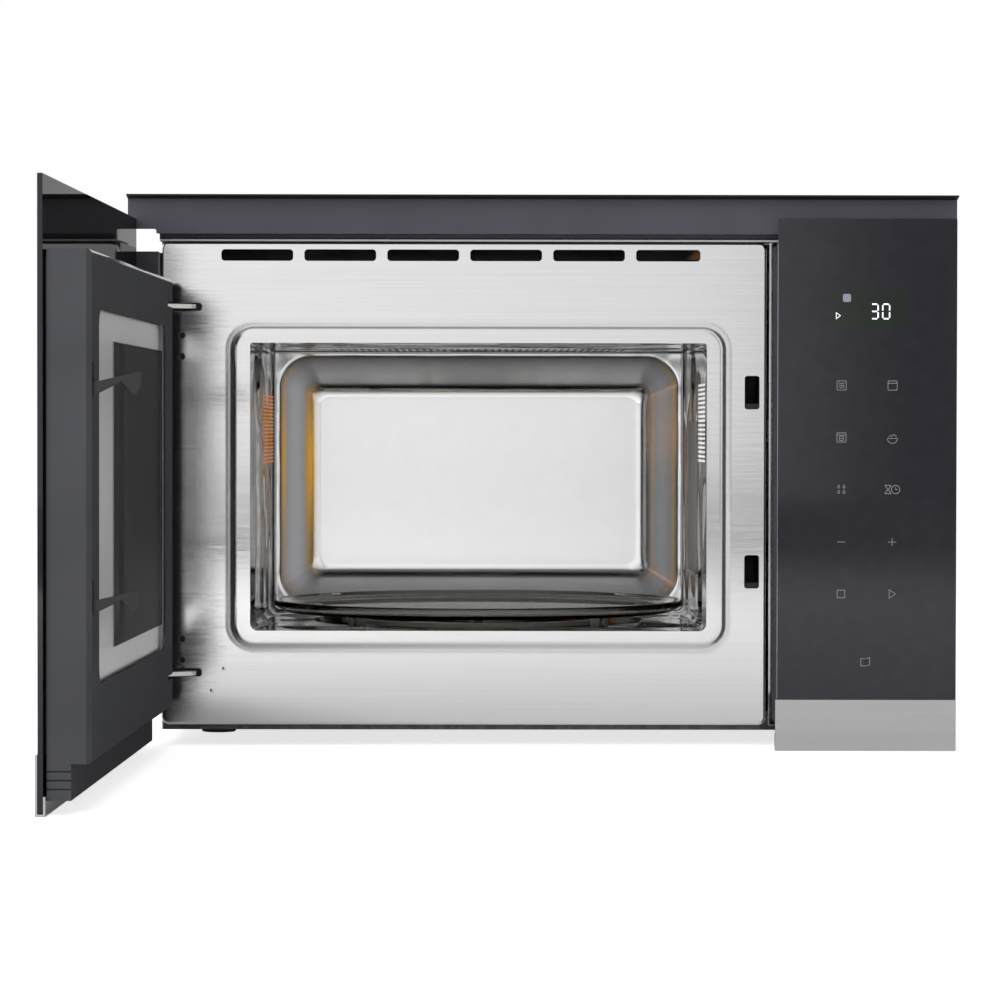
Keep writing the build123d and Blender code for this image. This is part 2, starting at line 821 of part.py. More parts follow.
# Control panel
with BuildPart() as control_glass:
    extrude(glass_pane(panel_left, front_right), amount=glass_thickness)
with BuildPart() as control_strip:
    extrude(strip_profile(panel_left - strip_overhang), amount=panel_width + strip_overhang)
housing_left = panel_left + housing_inset
housing_right = body_right - seam
housing_heights = (housing_bottom, housing_top)
with BuildPart() as control_housing:
    block((housing_left, housing_right), (glass_back, plate_front), housing_heights)
    block((housing_right, front_right - housing_inset), (glass_back, housing_wing_back), housing_heights)
    block(
        (housing_left + housing_wall, housing_right - housing_wall),
        (glass_back, plate_front - housing_wall),
        (housing_bottom + housing_wall, housing_top - housing_wall),
        mode=Mode.SUBTRACT,
    )
with BuildPart() as display_module:
    with BuildSketch(facing(glass_back + display_depth)):
        with Locations((display_x, display_z)):
            Rectangle(display_width, display_height)
    extrude(amount=display_depth)
with BuildPart() as touch_board:
    with BuildSketch(facing(glass_back + board_sheet)):
        with Locations((display_x, (touch_board_bottom + touch_board_top) / 2)):
            Rectangle(touch_board_width, touch_board_top - touch_board_bottom)
    extrude(amount=board_sheet)


def hinge_arm(height, bracket_range):
    """A steel lever with a riveted pivot pin, welded to a bracket behind the face plate."""
    bottom = height - arm_sheet / 2
    elbow = (hinge_slot_x, plate_front - arm_width / 2)
    with BuildPart() as arm:
        with BuildSketch(level(bottom)):
            with Locations((hinge_x, hinge_y)):
                Circle(arm_eye_radius)
            with Locations(elbow):
                Circle(arm_width / 2)
            make_hull()
        extrude(amount=arm_sheet)
        with BuildSketch(level(bottom)):
            with Locations((hinge_slot_x, elbow[1] + arm_depth / 2)):
                Rectangle(arm_width, arm_depth)
        extrude(amount=arm_sheet)
        with BuildSketch(level(height - pin_length / 2)):
            with Locations((hinge_x, hinge_y)):
                Circle(pin_radius)
        extrude(amount=pin_length)
        half = hinge_slot_width / 2
        block(
            (hinge_slot_x - half, hinge_slot_x + half),
            (plate_back, plate_back + arm_sheet),
            bracket_range,
        )
    return arm


upper_bracket = (hinge_upper - screw_below - screw_pitch, hinge_upper + arm_width / 2)
lower_bracket = (hinge_lower - arm_width / 2, hinge_lower + screw_above + screw_pitch)
hinge_arm_upper = hinge_arm(hinge_upper, upper_bracket)
hinge_arm_lower = hinge_arm(hinge_lower, lower_bracket)

# Latch bracket: an upright wall beside the hooks, with a ledge under each hook
bracket_right = plate_right - plate_sheet - seam
bracket_left = bracket_right - bracket_wall
with BuildPart() as latch_bracket:
    block(
        (bracket_left, bracket_right),
        (plate_back, plate_back + bracket_depth),
        (latch_lower - latch_slot_height, latch_upper + latch_slot_height),
    )
    for height in latch_levels:
        ledge_top = height - hook_tip - catch_gap
        block(
            (latch_x - hook_thickness, bracket_left),
            (plate_back, plate_back + bracket_depth / 2),
            (ledge_top - bracket_wall, ledge_top),
        )
with BuildPart() as door_switches:
    for height in (latch_lower, (latch_lower + latch_upper) / 2, latch_upper):
        block(
            (bracket_right, bracket_right + switch_width),
            (case_front, case_front + switch_depth),
            (height - switch_height / 2, height + switch_height / 2),
        )

# Waveguide against the right wall, and the magnetron whose antenna reaches into it
guide_right = wall_outside + guide_width
with BuildPart() as waveguide:
    with BuildSketch(side(wall_outside)):
        with Locations((guide_y, guide_z)):
            Rectangle(guide_depth, guide_height)
    extrude(amount=guide_width)
    with BuildSketch(side(wall_outside)):
        with Locations((guide_y, guide_z)):
            Rectangle(guide_depth - 2 * guide_sheet, guide_height - 2 * guide_sheet)
    extrude(amount=guide_width - guide_sheet, mode=Mode.SUBTRACT)
    with BuildSketch(side(guide_right - guide_sheet)):
        with Locations((guide_y, guide_z)):
            Circle(antenna_radius + antenna_gap)
    extrude(amount=guide_sheet, mode=Mode.SUBTRACT)
with BuildPart() as magnetron:
    with BuildSketch(side(guide_right)):
        with Locations((guide_y, guide_z)):
            Rectangle(magnetron_depth, magnetron_height)
            Rectangle(magnetron_depth, magnetron_height - 4 * fin_sheet, mode=Mode.SUBTRACT)
    extrude(amount=magnetron_width)
    fin_pitch = magnetron_width / (magnetron_fins + 1)
    for index in range(magnetron_fins + 2):
        start = min(index * fin_pitch, magnetron_width - fin_sheet)
        with BuildSketch(side(guide_right + start)):
            with Locations((guide_y, guide_z)):
                Rectangle(magnetron_depth - 2 * fin_sheet, magnetron_height - 2 * fin_sheet)
        extrude(amount=fin_sheet)
    with BuildSketch(side(guide_right - antenna_reach)):
        with Locations((guide_y, guide_z)):
            Circle(antenna_radius)
    extrude(amount=antenna_reach + magnetron_width)

# Transformer: a laminated core with windings that bulge at both ends
with BuildPart() as transformer:
    core_middle = base_inside + core_height / 2
    with BuildSketch(level(base_inside)):
        with Locations((transformer_x, transformer_y)):
            Rectangle(core_width, core_depth)
    extrude(amount=core_height)
    with BuildSketch(side(transformer_x - core_width / 2 - coil_bulge)):
        with Locations((transformer_y, core_middle)):
            RectangleRounded(coil_depth, coil_height, coil_bulge / 2)
    extrude(amount=core_width + 2 * coil_bulge)

# Capacitor: an oval can lying on the base
with BuildPart() as capacitor:
    with BuildSketch(facing(capacitor_y + capacitor_length / 2)):
        with Locations((capacitor_x, base_inside + capacitor_thickness / 2)):
            SlotOverall(capacitor_width, capacitor_thickness)
    extrude(amount=capacitor_length)


def stand_off_board(plane, width, height, parts):
    """A circuit board on four posts, with parts given as (x, y, width, height, rise) standing on it."""
    with BuildPart() as board:
        with BuildSketch(plane.offset(standoff)):
            Rectangle(width, height)
        extrude(amount=board_sheet)
        with BuildSketch(plane):
            with GridLocations(width - 2 * standoff, height - 2 * standoff, 2, 2):
                Circle(standoff / 2)
        extrude(amount=standoff)
        for x, y, part_width, part_height, rise in parts:
            with BuildSketch(plane.offset(standoff + board_sheet)):
                with Locations((x, y)):
                    Rectangle(part_width, part_height)
            extrude(amount=rise)
    return board


# Boards: the mains filter on the base and the control board on the casing's right side
filter_plane = Plane(origin=(filter_x, filter_y, base_inside))
line_filter = stand_off_board(filter_plane, filter_width, filter_depth, filter_parts)
board_plane = Plane(
    origin=(body_right - case_sheet, control_board_y, control_board_z), x_dir=(0, -1, 0), z_dir=(-1, 0, 0)
)
control_board = stand_off_board(board_plane, control_board_depth, control_board_height, control_parts)

# Lamp in its housing behind the left wall
lamp_wall = oven_left - oven_sheet
with BuildPart() as lamp_housing:
    with BuildSketch(side(lamp_wall - lamp_box_width)):
        with Locations((lamp_screen_y, lamp_screen_z)):
            Rectangle(lamp_box_depth, lamp_box_height)
    extrude(amount=lamp_box_width)
    with BuildSketch(side(lamp_wall - lamp_box_width + case_sheet)):
        with Locations((lamp_screen_y, lamp_screen_z)):
            Rectangle(lamp_box_depth - 2 * case_sheet, lamp_box_height - 2 * case_sheet)
    extrude(amount=lamp_box_width, mode=Mode.SUBTRACT)
with BuildPart() as lamp:
    lamp_root = lamp_wall - lamp_box_width + case_sheet
    with BuildSketch(side(lamp_root)):
        with Locations((lamp_screen_y, lamp_screen_z)):
            Circle(lamp_radius)
    extrude(amount=lamp_length)
    chamfer(lamp.edges().group_by(Axis.X)[-1], lamp_nose)

# Grill: two quartz tubes between ceramic holders under a reflector
grill_base = oven_top + oven_sheet
reflector_width = grill_width + holder_side
reflector_depth = grill_depth + holder_side
tube_z = grill_base + reflector_rise / 2
with BuildPart() as grill_reflector:
    with BuildSketch(level(grill_base)):
        with Locations((oven_x, grill_y)):
            Rectangle(reflector_width, reflector_depth)
    extrude(amount=reflector_rise)
    with BuildSketch(level(grill_base)):
        with Locations((oven_x, grill_y)):
            Rectangle(reflector_width - 2 * case_sheet, reflector_depth - 2 * case_sheet)
    extrude(amount=reflector_rise - case_sheet, mode=Mode.SUBTRACT)
with BuildPart() as grill_tubes:
    with BuildSketch(side(oven_x - grill_width / 2)):
        with Locations((grill_y, tube_z)):
            with GridLocations(grill_tube_spread, 0, 2, 1):
                Circle(grill_tube_radius)
    extrude(amount=grill_width)
with BuildPart() as grill_holders:
    holder_thickness = holder_side / 2 - case_sheet
    for start in (oven_x - grill_width / 2 - holder_thickness, oven_x + grill_width / 2):
        with BuildSketch(side(start)):
            with Locations((grill_y, tube_z)):
                with GridLocations(grill_tube_spread, 0, 2, 1):
                    Rectangle(holder_side, holder_side)
        extrude(amount=holder_thickness)

# Exhaust duct behind the vent slots, and the air duct to the oven's inlet screen
vent_span = (vent_left - exhaust_rise, vent_left + vent_count * vent_pitch)
exhaust_half = vent_height / 2 + exhaust_rise / 2 - case_sheet
with BuildPart() as exhaust_duct:
    exhaust_y = (plate_back, plate_back + exhaust_depth)
    block(vent_span, exhaust_y, (vent_level - exhaust_half, vent_level + exhaust_half))
    block(
        (vent_span[0] + case_sheet, vent_span[1] - case_sheet),
        exhaust_y,
        (vent_level - exhaust_half + case_sheet, vent_level + exhaust_half - case_sheet),
        mode=Mode.SUBTRACT,
    )
with BuildPart() as air_duct:
    with BuildSketch(side(wall_outside)):
        with Locations((inlet_y, inlet_z)):
            Rectangle(inlet_depth + 4 * duct_wall, inlet_height + 4 * duct_wall)
    extrude(amount=duct_width)
    with BuildSketch(side(wall_outside)):
        with Locations((inlet_y, inlet_z)):
            Rectangle(inlet_depth + 2 * duct_wall, inlet_height + 2 * duct_wall)
    extrude(amount=duct_width - duct_wall, mode=Mode.SUBTRACT)
    block(
        (wall_outside + duct_wall, wall_outside + duct_width - duct_wall),
        (inlet_y, inlet_y + inlet_depth / 2),
        (inlet_z, inlet_z + inlet_height),
        mode=Mode.SUBTRACT,
    )

# Turntable motor under the oven floor
motor_top = well_floor - oven_sheet
coupler_bottom = tray_bottom - coupler_thickness
with BuildPart() as turntable_motor:
    with BuildSketch(level(motor_top - motor_height)):
        with Locations((oven_x, tray_y)):
            Circle(motor_radius)
    extrude(amount=motor_height)
    with BuildSketch(level(coupler_bottom - stem_length - shaft_hole_radius)):
        with Locations((oven_x, tray_y)):
            Circle(stem_radius + shaft_gap)
    extrude(amount=stem_length + shaft_hole_radius, mode=Mode.SUBTRACT)

# Drive coupler: a hub with three lobes and a stem down into the motor
with BuildPart() as drive_coupler:
    with BuildSketch(level(coupler_bottom)):
        with Locations((oven_x, tray_y)):
            Circle(coupler_hub_radius)
            with PolarLocations(coupler_lobe_reach / 2, roller_count):
                SlotOverall(coupler_lobe_reach, 2 * coupler_lobe_radius)
    extrude(amount=coupler_thickness)
    with BuildSketch(level(coupler_bottom - stem_length)):
        with Locations((oven_x, tray_y)):
            Circle(stem_radius)
    extrude(amount=stem_length)

# Glass tray: a flat disc with a sloping rim, turned about the turntable's axis
tray_plane = Plane(origin=(oven_x, tray_y, tray_bottom), x_dir=(1, 0, 0), z_dir=(0, -1, 0))
with BuildPart() as glass_tray:
    with BuildSketch(tray_plane):
        with BuildLine():
            Polyline(
                (0, 0),
                (tray_base_radius, 0),
                (tray_radius, tray_rim_rise),
                (tray_radius, tray_rim_rise + tray_thickness),
                (tray_radius - tray_thickness, tray_rim_rise + tray_thickness),
                (tray_base_radius, tray_thickness),
                (0, tray_thickness),
                close=True,
            )
        make_face()
    revolve(axis=Axis((oven_x, tray_y, 0), (0, 0, 1)))

# Roller ring: a flat ring with three short axles
ring_outer = roller_track - roller_width / 2 - roller_side_gap
axle_end = roller_track + roller_width / 2 + roller_side_gap


def spoke(turn, radius):
    """A plane square to the spoke at this angle, at this distance from the turntable's axis."""
    outward = Vector(1, 0, 0).rotate(Axis.Z, turn)
    return Plane(origin=Vector(oven_x, tray_y, roller_z) + outward * radius, x_dir=(0, 0, 1), z_dir=outward)


spoke_turns = [90 + index * 360 / roller_count for index in range(roller_count)]
with BuildPart() as roller_ring:
    with BuildSketch(level(roller_z - ring_thickness / 2)):
        with Locations((oven_x, tray_y)):
            Circle(ring_outer)
            Circle(ring_outer - ring_band, mode=Mode.SUBTRACT)
    extrude(amount=ring_thickness)
    for turn in spoke_turns:
        with BuildSketch(spoke(turn, ring_outer - ring_band / 2)):
            Circle(roller_axle_radius)
        extrude(amount=axle_end - ring_outer + ring_band / 2)
        with BuildSketch(spoke(turn, axle_end)):
            Circle(axle_head_radius)
        extrude(amount=roller_axle_radius)


def roller(turn):
    """A plain wheel on the axle at this angle."""
    with BuildPart() as wheel:
        with BuildSketch(spoke(turn, roller_track - roller_width / 2)):
            Circle(roller_radius)
            Circle(roller_axle_radius + roller_bore_gap, mode=Mode.SUBTRACT)
        extrude(amount=roller_width)
    return wheel


# Cooling fan at the rear grille: shroud, motor and impeller
shroud_front = rear_inside - shroud_depth
strut_front = shroud_front - fan_motor_gap
with BuildPart() as fan_shroud:
    with BuildSketch(facing(rear_inside)):
        with Locations((fan_x, fan_z)):
            Rectangle(shroud_side, shroud_side)
            Circle(fan_radius + fan_tip_gap, mode=Mode.SUBTRACT)
    extrude(amount=shroud_sheet)
    with BuildSketch(facing(rear_inside)):
        with Locations((fan_x, fan_z)):
            Circle(fan_radius + fan_tip_gap + shroud_sheet)
            Circle(fan_radius + fan_tip_gap, mode=Mode.SUBTRACT)
    extrude(amount=shroud_depth)
    with BuildSketch(facing(shroud_front)):
        with Locations((fan_x, fan_z)):
            with PolarLocations(0, 3, start_angle=90):
                with Locations(((fan_radius + fan_tip_gap + shroud_sheet + fan_motor_side / 4) / 2, 0)):
                    Rectangle(fan_radius + fan_tip_gap + shroud_sheet - fan_motor_side / 4, strut_width)
    extrude(amount=fan_motor_gap)
with BuildPart() as fan_motor:
    with BuildSketch(facing(strut_front)):
        with Locations((fan_x, fan_z)):
            RectangleRounded(fan_motor_side, fan_motor_side, strut_width / 2)
            Circle(fan_shaft_radius + shaft_gap, mode=Mode.SUBTRACT)
    extrude(amount=fan_motor_depth)


def blade_section(turn):
    """The root of a flat blade at this angle, leaning from the fan's axis by its pitch."""
    outward = Vector(1, 0, 0).rotate(Axis.Y, turn)
    along = Vector(0, 1, 0).rotate(Axis((0, 0, 0), outward), blade_pitch)
    middle = Vector(fan_x, shroud_front + shroud_depth / 2, fan_z)
    root = Plane(origin=middle + outward * blade_root_radius, x_dir=along, z_dir=outward)
    with BuildSketch(root) as section:
        Rectangle(blade_chord, blade_sheet)
    return section.sketch


with BuildPart() as fan_impeller:
    hub_back = shroud_front + (shroud_depth + fan_hub_length) / 2
    with BuildSketch(facing(hub_back)):
        with Locations((fan_x, fan_z)):
            Circle(fan_hub_radius)
    extrude(amount=fan_hub_length)
    with BuildSketch(facing(hub_back)):
        with Locations((fan_x, fan_z)):
            Circle(fan_shaft_radius)
    extrude(amount=fan_hub_length + fan_shaft_length)
    for index in range(fan_blades):
        extrude(blade_section(index * 360 / fan_blades), amount=fan_radius - blade_root_radius)

# The door is drawn shut. First its outer pane, strip and bond.
with BuildPart() as door_glass:
    extrude(glass_pane(front_left, door_right), amount=glass_thickness)
with BuildPart() as door_strip:
    extrude(strip_profile(front_left), amount=door_right - front_left + strip_overhang / 2)
frame_width = frame_right - frame_left
frame_height = frame_top - frame_bottom
frame_centre = ((frame_left + frame_right) / 2, (frame_bottom + frame_top) / 2)
with BuildPart() as door_bond:
    with BuildSketch(facing(frame_front)):
        with Locations(frame_centre):
            Rectangle(frame_width - 2 * bond_inset, frame_height - 2 * bond_inset)
            inset = bond_inset + bond_width
            Rectangle(frame_width - 2 * inset, frame_height - 2 * inset, mode=Mode.SUBTRACT)
    extrude(amount=bond_thickness)

# Door frame: a hollow moulding with a hinge knuckle, a lower skirt, a window and slits for the hooks
frame_inside = frame_back - frame_wall
pocket_right = hinge_slot_x + hinge_slot_width / 2
bar_half = bar_width / 2 + guide_gap
bar_back = frame_inside - slit_gap
bar_front = bar_back - bar_depth
guide_front = bar_front - guide_gap - guide_wall
latch_middle = (latch_lower + latch_upper) / 2
with BuildPart() as door_frame:
    with BuildSketch(facing(frame_back)):
        with Locations(frame_centre):
            Rectangle(frame_width, frame_height)
    extrude(amount=frame_back - frame_front)
    free_edge = door_frame.edges().filter_by(Axis.Z).group_by(Axis.X)[-1].sort_by(Axis.Y)[-1]
    chamfer(free_edge, frame_chamfer)
    rims = door_frame.edges().filter_by(Axis.X).group_by(Axis.Y)[-1]
    fillet(rims, frame_edge_round)
    block(
        (frame_left + frame_wall, frame_right - frame_wall),
        (frame_front, frame_inside),
        (frame_bottom + frame_wall, frame_top - frame_wall),
        mode=Mode.SUBTRACT,
    )
    with BuildSketch(facing(pane_back)):
        with Locations((window_x, window_z)):
            seat = 2 * (pane_seat + pane_play)
            RectangleRounded(window_width + seat, window_height + seat, window_corner)
    extrude(amount=pane_back - frame_inside, mode=Mode.SUBTRACT)
    with BuildSketch(facing(frame_back)):
        with Locations((window_x, window_z)):
            RectangleRounded(window_width, window_height, window_corner)
    extrude(amount=frame_back - pane_back, mode=Mode.SUBTRACT)
    block((knuckle_left, frame_left), (glass_back, knuckle_back), (frame_bottom, frame_top))
    knuckle_edge = door_frame.edges().filter_by(Axis.Z).group_by(Axis.X)[0].sort_by(Axis.Y)[-1]
    fillet(knuckle_edge, frame_edge_round)
    block((skirt_left, frame_right), (frame_front, skirt_back), (skirt_bottom, frame_bottom))
    for index in range(rib_count):
        groove = frame_bottom - rib_drop - index * rib_pitch
        block(
            (frame_right - rib_depth, frame_right),
            (frame_front, skirt_back),
            (groove - rib_height / 2, groove + rib_height / 2),
            mode=Mode.SUBTRACT,
        )
    for edge in (latch_x - bar_half - guide_wall, latch_x + bar_half):
        block(
            (edge, edge + guide_wall),
            (guide_front, frame_inside),
            (latch_lower + latch_slot_height, latch_upper - latch_slot_height),
        )
    block(
        (latch_x - bar_half, latch_x + bar_half),
        (guide_front, guide_front + guide_wall),
        (latch_middle - latch_slot_height / 2, latch_middle + latch_slot_height / 2),
    )
    for height in latch_levels:
        root_low = height - hook_tip
        block(
            (latch_x - hook_thickness / 2 - slit_gap, latch_x + hook_thickness / 2 + slit_gap),
            (frame_inside, frame_back),
            (root_low - slit_gap, root_low + hook_root + latch_travel + slit_room),
            mode=Mode.SUBTRACT,
        )
    for height in hinge_levels:
        pocket = (height - arm_slot / 2, height + arm_slot / 2)
        block((knuckle_left, frame_left), (glass_back, knuckle_back), pocket, mode=Mode.SUBTRACT)
        block((frame_left, pocket_right), (frame_front, frame_back), pocket, mode=Mode.SUBTRACT)
        with BuildSketch(level(height - pin_length / 2 - arm_gap)):
            with Locations((hinge_x, hinge_y)):
                Circle(pin_radius + pin_gap)
        extrude(amount=pin_length + 2 * arm_gap, mode=Mode.SUBTRACT)

# Window of the door: inner pane, perforated screen and the pressed steel plate
pane_width = window_width + 2 * pane_seat
pane_height = window_height + 2 * pane_seat
screen_front = pane_front - screen_sheet
with BuildPart() as door_pane:
    with BuildSketch(facing(pane_back)):
        with Locations((window_x, window_z)):
            RectangleRounded(pane_width, pane_height, window_corner)
    extrude(amount=pane_thickness)
with BuildPart() as door_screen:
    with BuildSketch(facing(pane_front)):
        with Locations((window_x, window_z)):
            RectangleRounded(pane_width, pane_height, window_corner)
    extrude(amount=screen_sheet)
steel_left = pocket_right + guide_wall
steel_right = latch_x - bar_half - 2 * guide_wall
steel_centre = ((steel_left + steel_right) / 2, frame_centre[1])
steel_height = frame_height - 2 * plate_margin
with BuildPart() as door_plate:
    with BuildSketch(facing(frame_inside)):
        with Locations(steel_centre):
            Rectangle(steel_right - steel_left, steel_height)
    extrude(amount=frame_inside - screen_front + case_sheet)
    with BuildSketch(facing(frame_inside)):
        with Locations(steel_centre):
            Rectangle(steel_right - steel_left - 2 * case_sheet, steel_height - 2 * case_sheet)
    extrude(amount=frame_inside - screen_front, mode=Mode.SUBTRACT)
    with BuildSketch(facing(screen_front)):
        with Locations((window_x, window_z)):
            RectangleRounded(window_width, window_height, window_corner)
    extrude(amount=case_sheet, mode=Mode.SUBTRACT)

# Latch: one bar inside the door frame with two barbed hooks
with BuildPart() as latch_hooks:
    block(
        (latch_x - bar_width / 2, latch_x + bar_width / 2),
        (bar_front, bar_back),
        (latch_lower - hook_tip, latch_upper + hook_tip),
    )
    for height in latch_levels:
        low = height - hook_tip
        with BuildSketch(side(latch_x - hook_thickness / 2)):
            with BuildLine():
                Polyline(
                    (bar_front, low),
                    (frame_back, low),
                    (frame_back + hook_barb, low + hook_rise),
                    (frame_back + hook_point, low),
                    (frame_back + hook_nose, low + hook_nose_rise),
                    (frame_back + hook_reach, height + hook_tip),
                    (frame_back, low + hook_root),
                    (bar_front, low + hook_root),
                    close=True,
                )
            make_face()
        extrude(amount=hook_thickness)

# Every fixed or turning piece, written where it stands
body_pieces = {
    "face_plate": face_plate,
    "panel_carrier": panel_carrier,
    "cavity_wrap": cavity_wrap,
    "cavity_floor": cavity_floor,
    "cavity_back": cavity_back,
    "grill_screen": grill_screen,
    "lamp_screen": lamp_screen,
    "inlet_screen": inlet_screen,
    "waveguide_cover": waveguide_cover,
    "outer_casing": outer_casing,
    "base_plate": base_plate,
    "feet": feet,
    "rear_panel": rear_panel,
    "cord_gland": cord_gland,
    "top_rail": top_rail,
    "flange_left": flange_left,
    "flange_right": flange_right,
    "control_glass": control_glass,
    "control_strip": control_strip,
    "control_housing": control_housing,
    "display_module": display_module,
    "touch_board": touch_board,
    "hinge_arm_upper": hinge_arm_upper,
    "hinge_arm_lower": hinge_arm_lower,
    "latch_bracket": latch_bracket,
    "door_switches": door_switches,
    "waveguide": waveguide,
    "magnetron": magnetron,
    "transformer": transformer,
    "capacitor": capacitor,
    "line_filter": line_filter,
    "control_board": control_board,
    "lamp_housing": lamp_housing,
    "lamp": lamp,
    "grill_reflector": grill_reflector,
    "grill_tubes": grill_tubes,
    "grill_holders": grill_holders,
    "exhaust_duct": exhaust_duct,
    "air_duct": air_duct,
    "turntable_motor": turntable_motor,
    "drive_coupler": drive_coupler,
    "glass_tray": glass_tray,
    "roller_ring": roller_ring,
    "fan_shroud": fan_shroud,
    "fan_motor": fan_motor,
    "fan_impeller": fan_impeller,
}
for index, turn in enumerate(spoke_turns):
    body_pieces[f"roller_{index + 1}"] = roller(turn)
for name, piece in body_pieces.items():
    piece.part.label = name
    export_step(piece.part, f"parts/{name}.step")

# The door's pieces, swung open about the hinge before they are written
hinge_point = Location((hinge_x, hinge_y, 0))
swing = hinge_point * Rotation(0, 0, -door_open) * hinge_point.inverse()
door_pieces = {
    "door_glass": door_glass,
    "door_strip": door_strip,
    "door_bond": door_bond,
    "door_frame": door_frame,
    "door_pane": door_pane,
    "door_screen": door_screen,
    "door_plate": door_plate,
    "latch_hooks": latch_hooks,
}
for name, piece in door_pieces.items():
    with BuildPart() as opened:
        add(piece.part.moved(swing))
    opened.part.label = name
    export_step(opened.part, f"parts/{name}.step")
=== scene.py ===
import json
import math

import bpy
import numpy as np
from mathutils import Matrix, Vector


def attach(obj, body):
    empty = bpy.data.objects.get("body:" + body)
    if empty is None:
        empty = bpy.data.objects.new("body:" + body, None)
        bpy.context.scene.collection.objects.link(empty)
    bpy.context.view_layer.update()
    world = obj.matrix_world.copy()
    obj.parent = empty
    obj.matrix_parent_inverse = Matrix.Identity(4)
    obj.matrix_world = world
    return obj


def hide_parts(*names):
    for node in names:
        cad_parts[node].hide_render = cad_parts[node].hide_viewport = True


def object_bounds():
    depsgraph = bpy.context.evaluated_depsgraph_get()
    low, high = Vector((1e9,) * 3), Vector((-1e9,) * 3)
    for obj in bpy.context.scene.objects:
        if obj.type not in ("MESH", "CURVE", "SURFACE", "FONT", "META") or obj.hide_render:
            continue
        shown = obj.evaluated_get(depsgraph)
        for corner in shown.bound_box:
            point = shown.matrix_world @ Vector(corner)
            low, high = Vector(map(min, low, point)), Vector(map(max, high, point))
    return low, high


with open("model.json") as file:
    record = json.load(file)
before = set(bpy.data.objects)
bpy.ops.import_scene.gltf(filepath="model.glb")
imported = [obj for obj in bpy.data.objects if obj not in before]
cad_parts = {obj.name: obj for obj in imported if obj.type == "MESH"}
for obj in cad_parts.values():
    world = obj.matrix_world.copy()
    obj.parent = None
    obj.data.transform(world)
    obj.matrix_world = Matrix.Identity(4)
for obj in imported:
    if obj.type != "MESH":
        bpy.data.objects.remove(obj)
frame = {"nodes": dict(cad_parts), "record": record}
cad_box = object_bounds()
nodes = frame["nodes"]
MM = 0.001


# Meshes

def node_box(name):
    """The least and the greatest corner of a CAD node, in millimetres."""
    mesh = nodes[name].data
    points = np.empty(3 * len(mesh.vertices), np.float32)
    mesh.vertices.foreach_get("co", points)
    points = points.astype(float).reshape(-1, 3) / MM
    return points.min(0).round(3), points.max(0).round(3)


def new_object(name, data):
    """An object put in the scene."""
    thing = bpy.data.objects.new(name, data)
    bpy.context.scene.collection.objects.link(thing)
    return thing


def make_piece(name, points, faces, body, material, smooth=True):
    """A mesh from points in millimetres and faces as lists of point numbers, riding on a body."""
    mesh = bpy.data.meshes.new(name)
    mesh.from_pydata((np.asarray(points, float) * MM).tolist(), [], faces)
    mesh.materials.append(material)
    mesh.polygons.foreach_set("use_smooth", np.full(len(mesh.polygons), smooth))
    mesh.update()
    piece = new_object(name, mesh)
    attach(piece, body)
    return piece


def skin(rows, columns, close_columns=True):
    """Quads over a grid of points numbered row by row, joined round at the end of each row if closed."""
    last = columns if close_columns else columns - 1
    row, column = np.meshgrid(np.arange(rows - 1), np.arange(last), indexing="ij")
    a = row * columns + column
    b = row * columns + (column + 1) % columns
    return np.stack([a, b, b + columns, a + columns], -1).reshape(-1, 4).tolist()


def rounded_loop(half_width, half_height, radii, steps=12, runs=0):
    """A rounded rectangle: each corner is its inset centre plus a radius turned through a quarter circle.
    Radii are for the right top, left top, left bottom and right bottom corners. Runs is the number of points
    put along each straight side."""
    quarter = np.linspace(0, math.pi / 2, steps)
    corners = []
    for turn, (sx, sz), radius in zip(range(4), ((1, 1), (-1, 1), (-1, -1), (1, -1)), radii):
        angle = quarter + turn * math.pi / 2
        corners.append(np.stack([
            sx * (half_width - radius) + radius * np.cos(angle),
            sz * (half_height - radius) + radius * np.sin(angle),
        ], -1))
    sides = [np.linspace(a[-1], b[0], runs + 2)[1:-1] for a, b in zip(corners, corners[1:] + corners[:1])]
    return np.concatenate([part for pair in zip(corners, sides) for part in pair])


def bend(start, corner, end, radius, steps):
    """Points along a corner rounded by an arc of this radius between two straight runs in a plane."""
    start, corner, end = (np.asarray(p, float) for p in (start, corner, end))
    one = (start - corner) / np.linalg.norm(start - corner)
    two = (end - corner) / np.linalg.norm(end - corner)
    half = math.acos(float(np.clip(one @ two, -1, 1))) / 2
    middle = corner + (one + two) / np.linalg.norm(one + two) * radius / math.sin(half)
    first = corner + one * radius / math.tan(half) - middle
    last = corner + two * radius / math.tan(half) - middle
    share = np.linspace(0, 1, steps)[:, None]
    arc = first * (1 - share) + last * share
    return middle + arc / np.linalg.norm(arc, axis=1)[:, None] * radius


def add_wall(piece, thickness, offset):
    """Thickness in millimetres for a piece that is a skin, as a modifier."""
    wall = piece.modifiers.new("wall", "SOLIDIFY")
    wall.thickness, wall.offset = thickness * MM, offset
    return wall


def add_weld(piece, name, reach):
    """Points that lie within a reach in millimetres joined, as a modifier."""
    piece.modifiers.new(name, "WELD").merge_threshold = reach * MM


# Shader groups

def new_group(name, outputs, **inputs):
    """An empty shader group: a place and numbers with their defaults go in, and numbers come out."""
    group = bpy.data.node_groups.new(name, "ShaderNodeTree")
    group.interface.new_socket("Vector", in_out="INPUT", socket_type="NodeSocketVector")
    for label, default in inputs.items():
        socket = group.interface.new_socket(label, in_out="INPUT", socket_type="NodeSocketFloat")
        socket.default_value = default
    for label in outputs:
        group.interface.new_socket(label, in_out="OUTPUT", socket_type="NodeSocketFloat")
    return group, group.nodes.new("NodeGroupInput"), group.nodes.new("NodeGroupOutput")


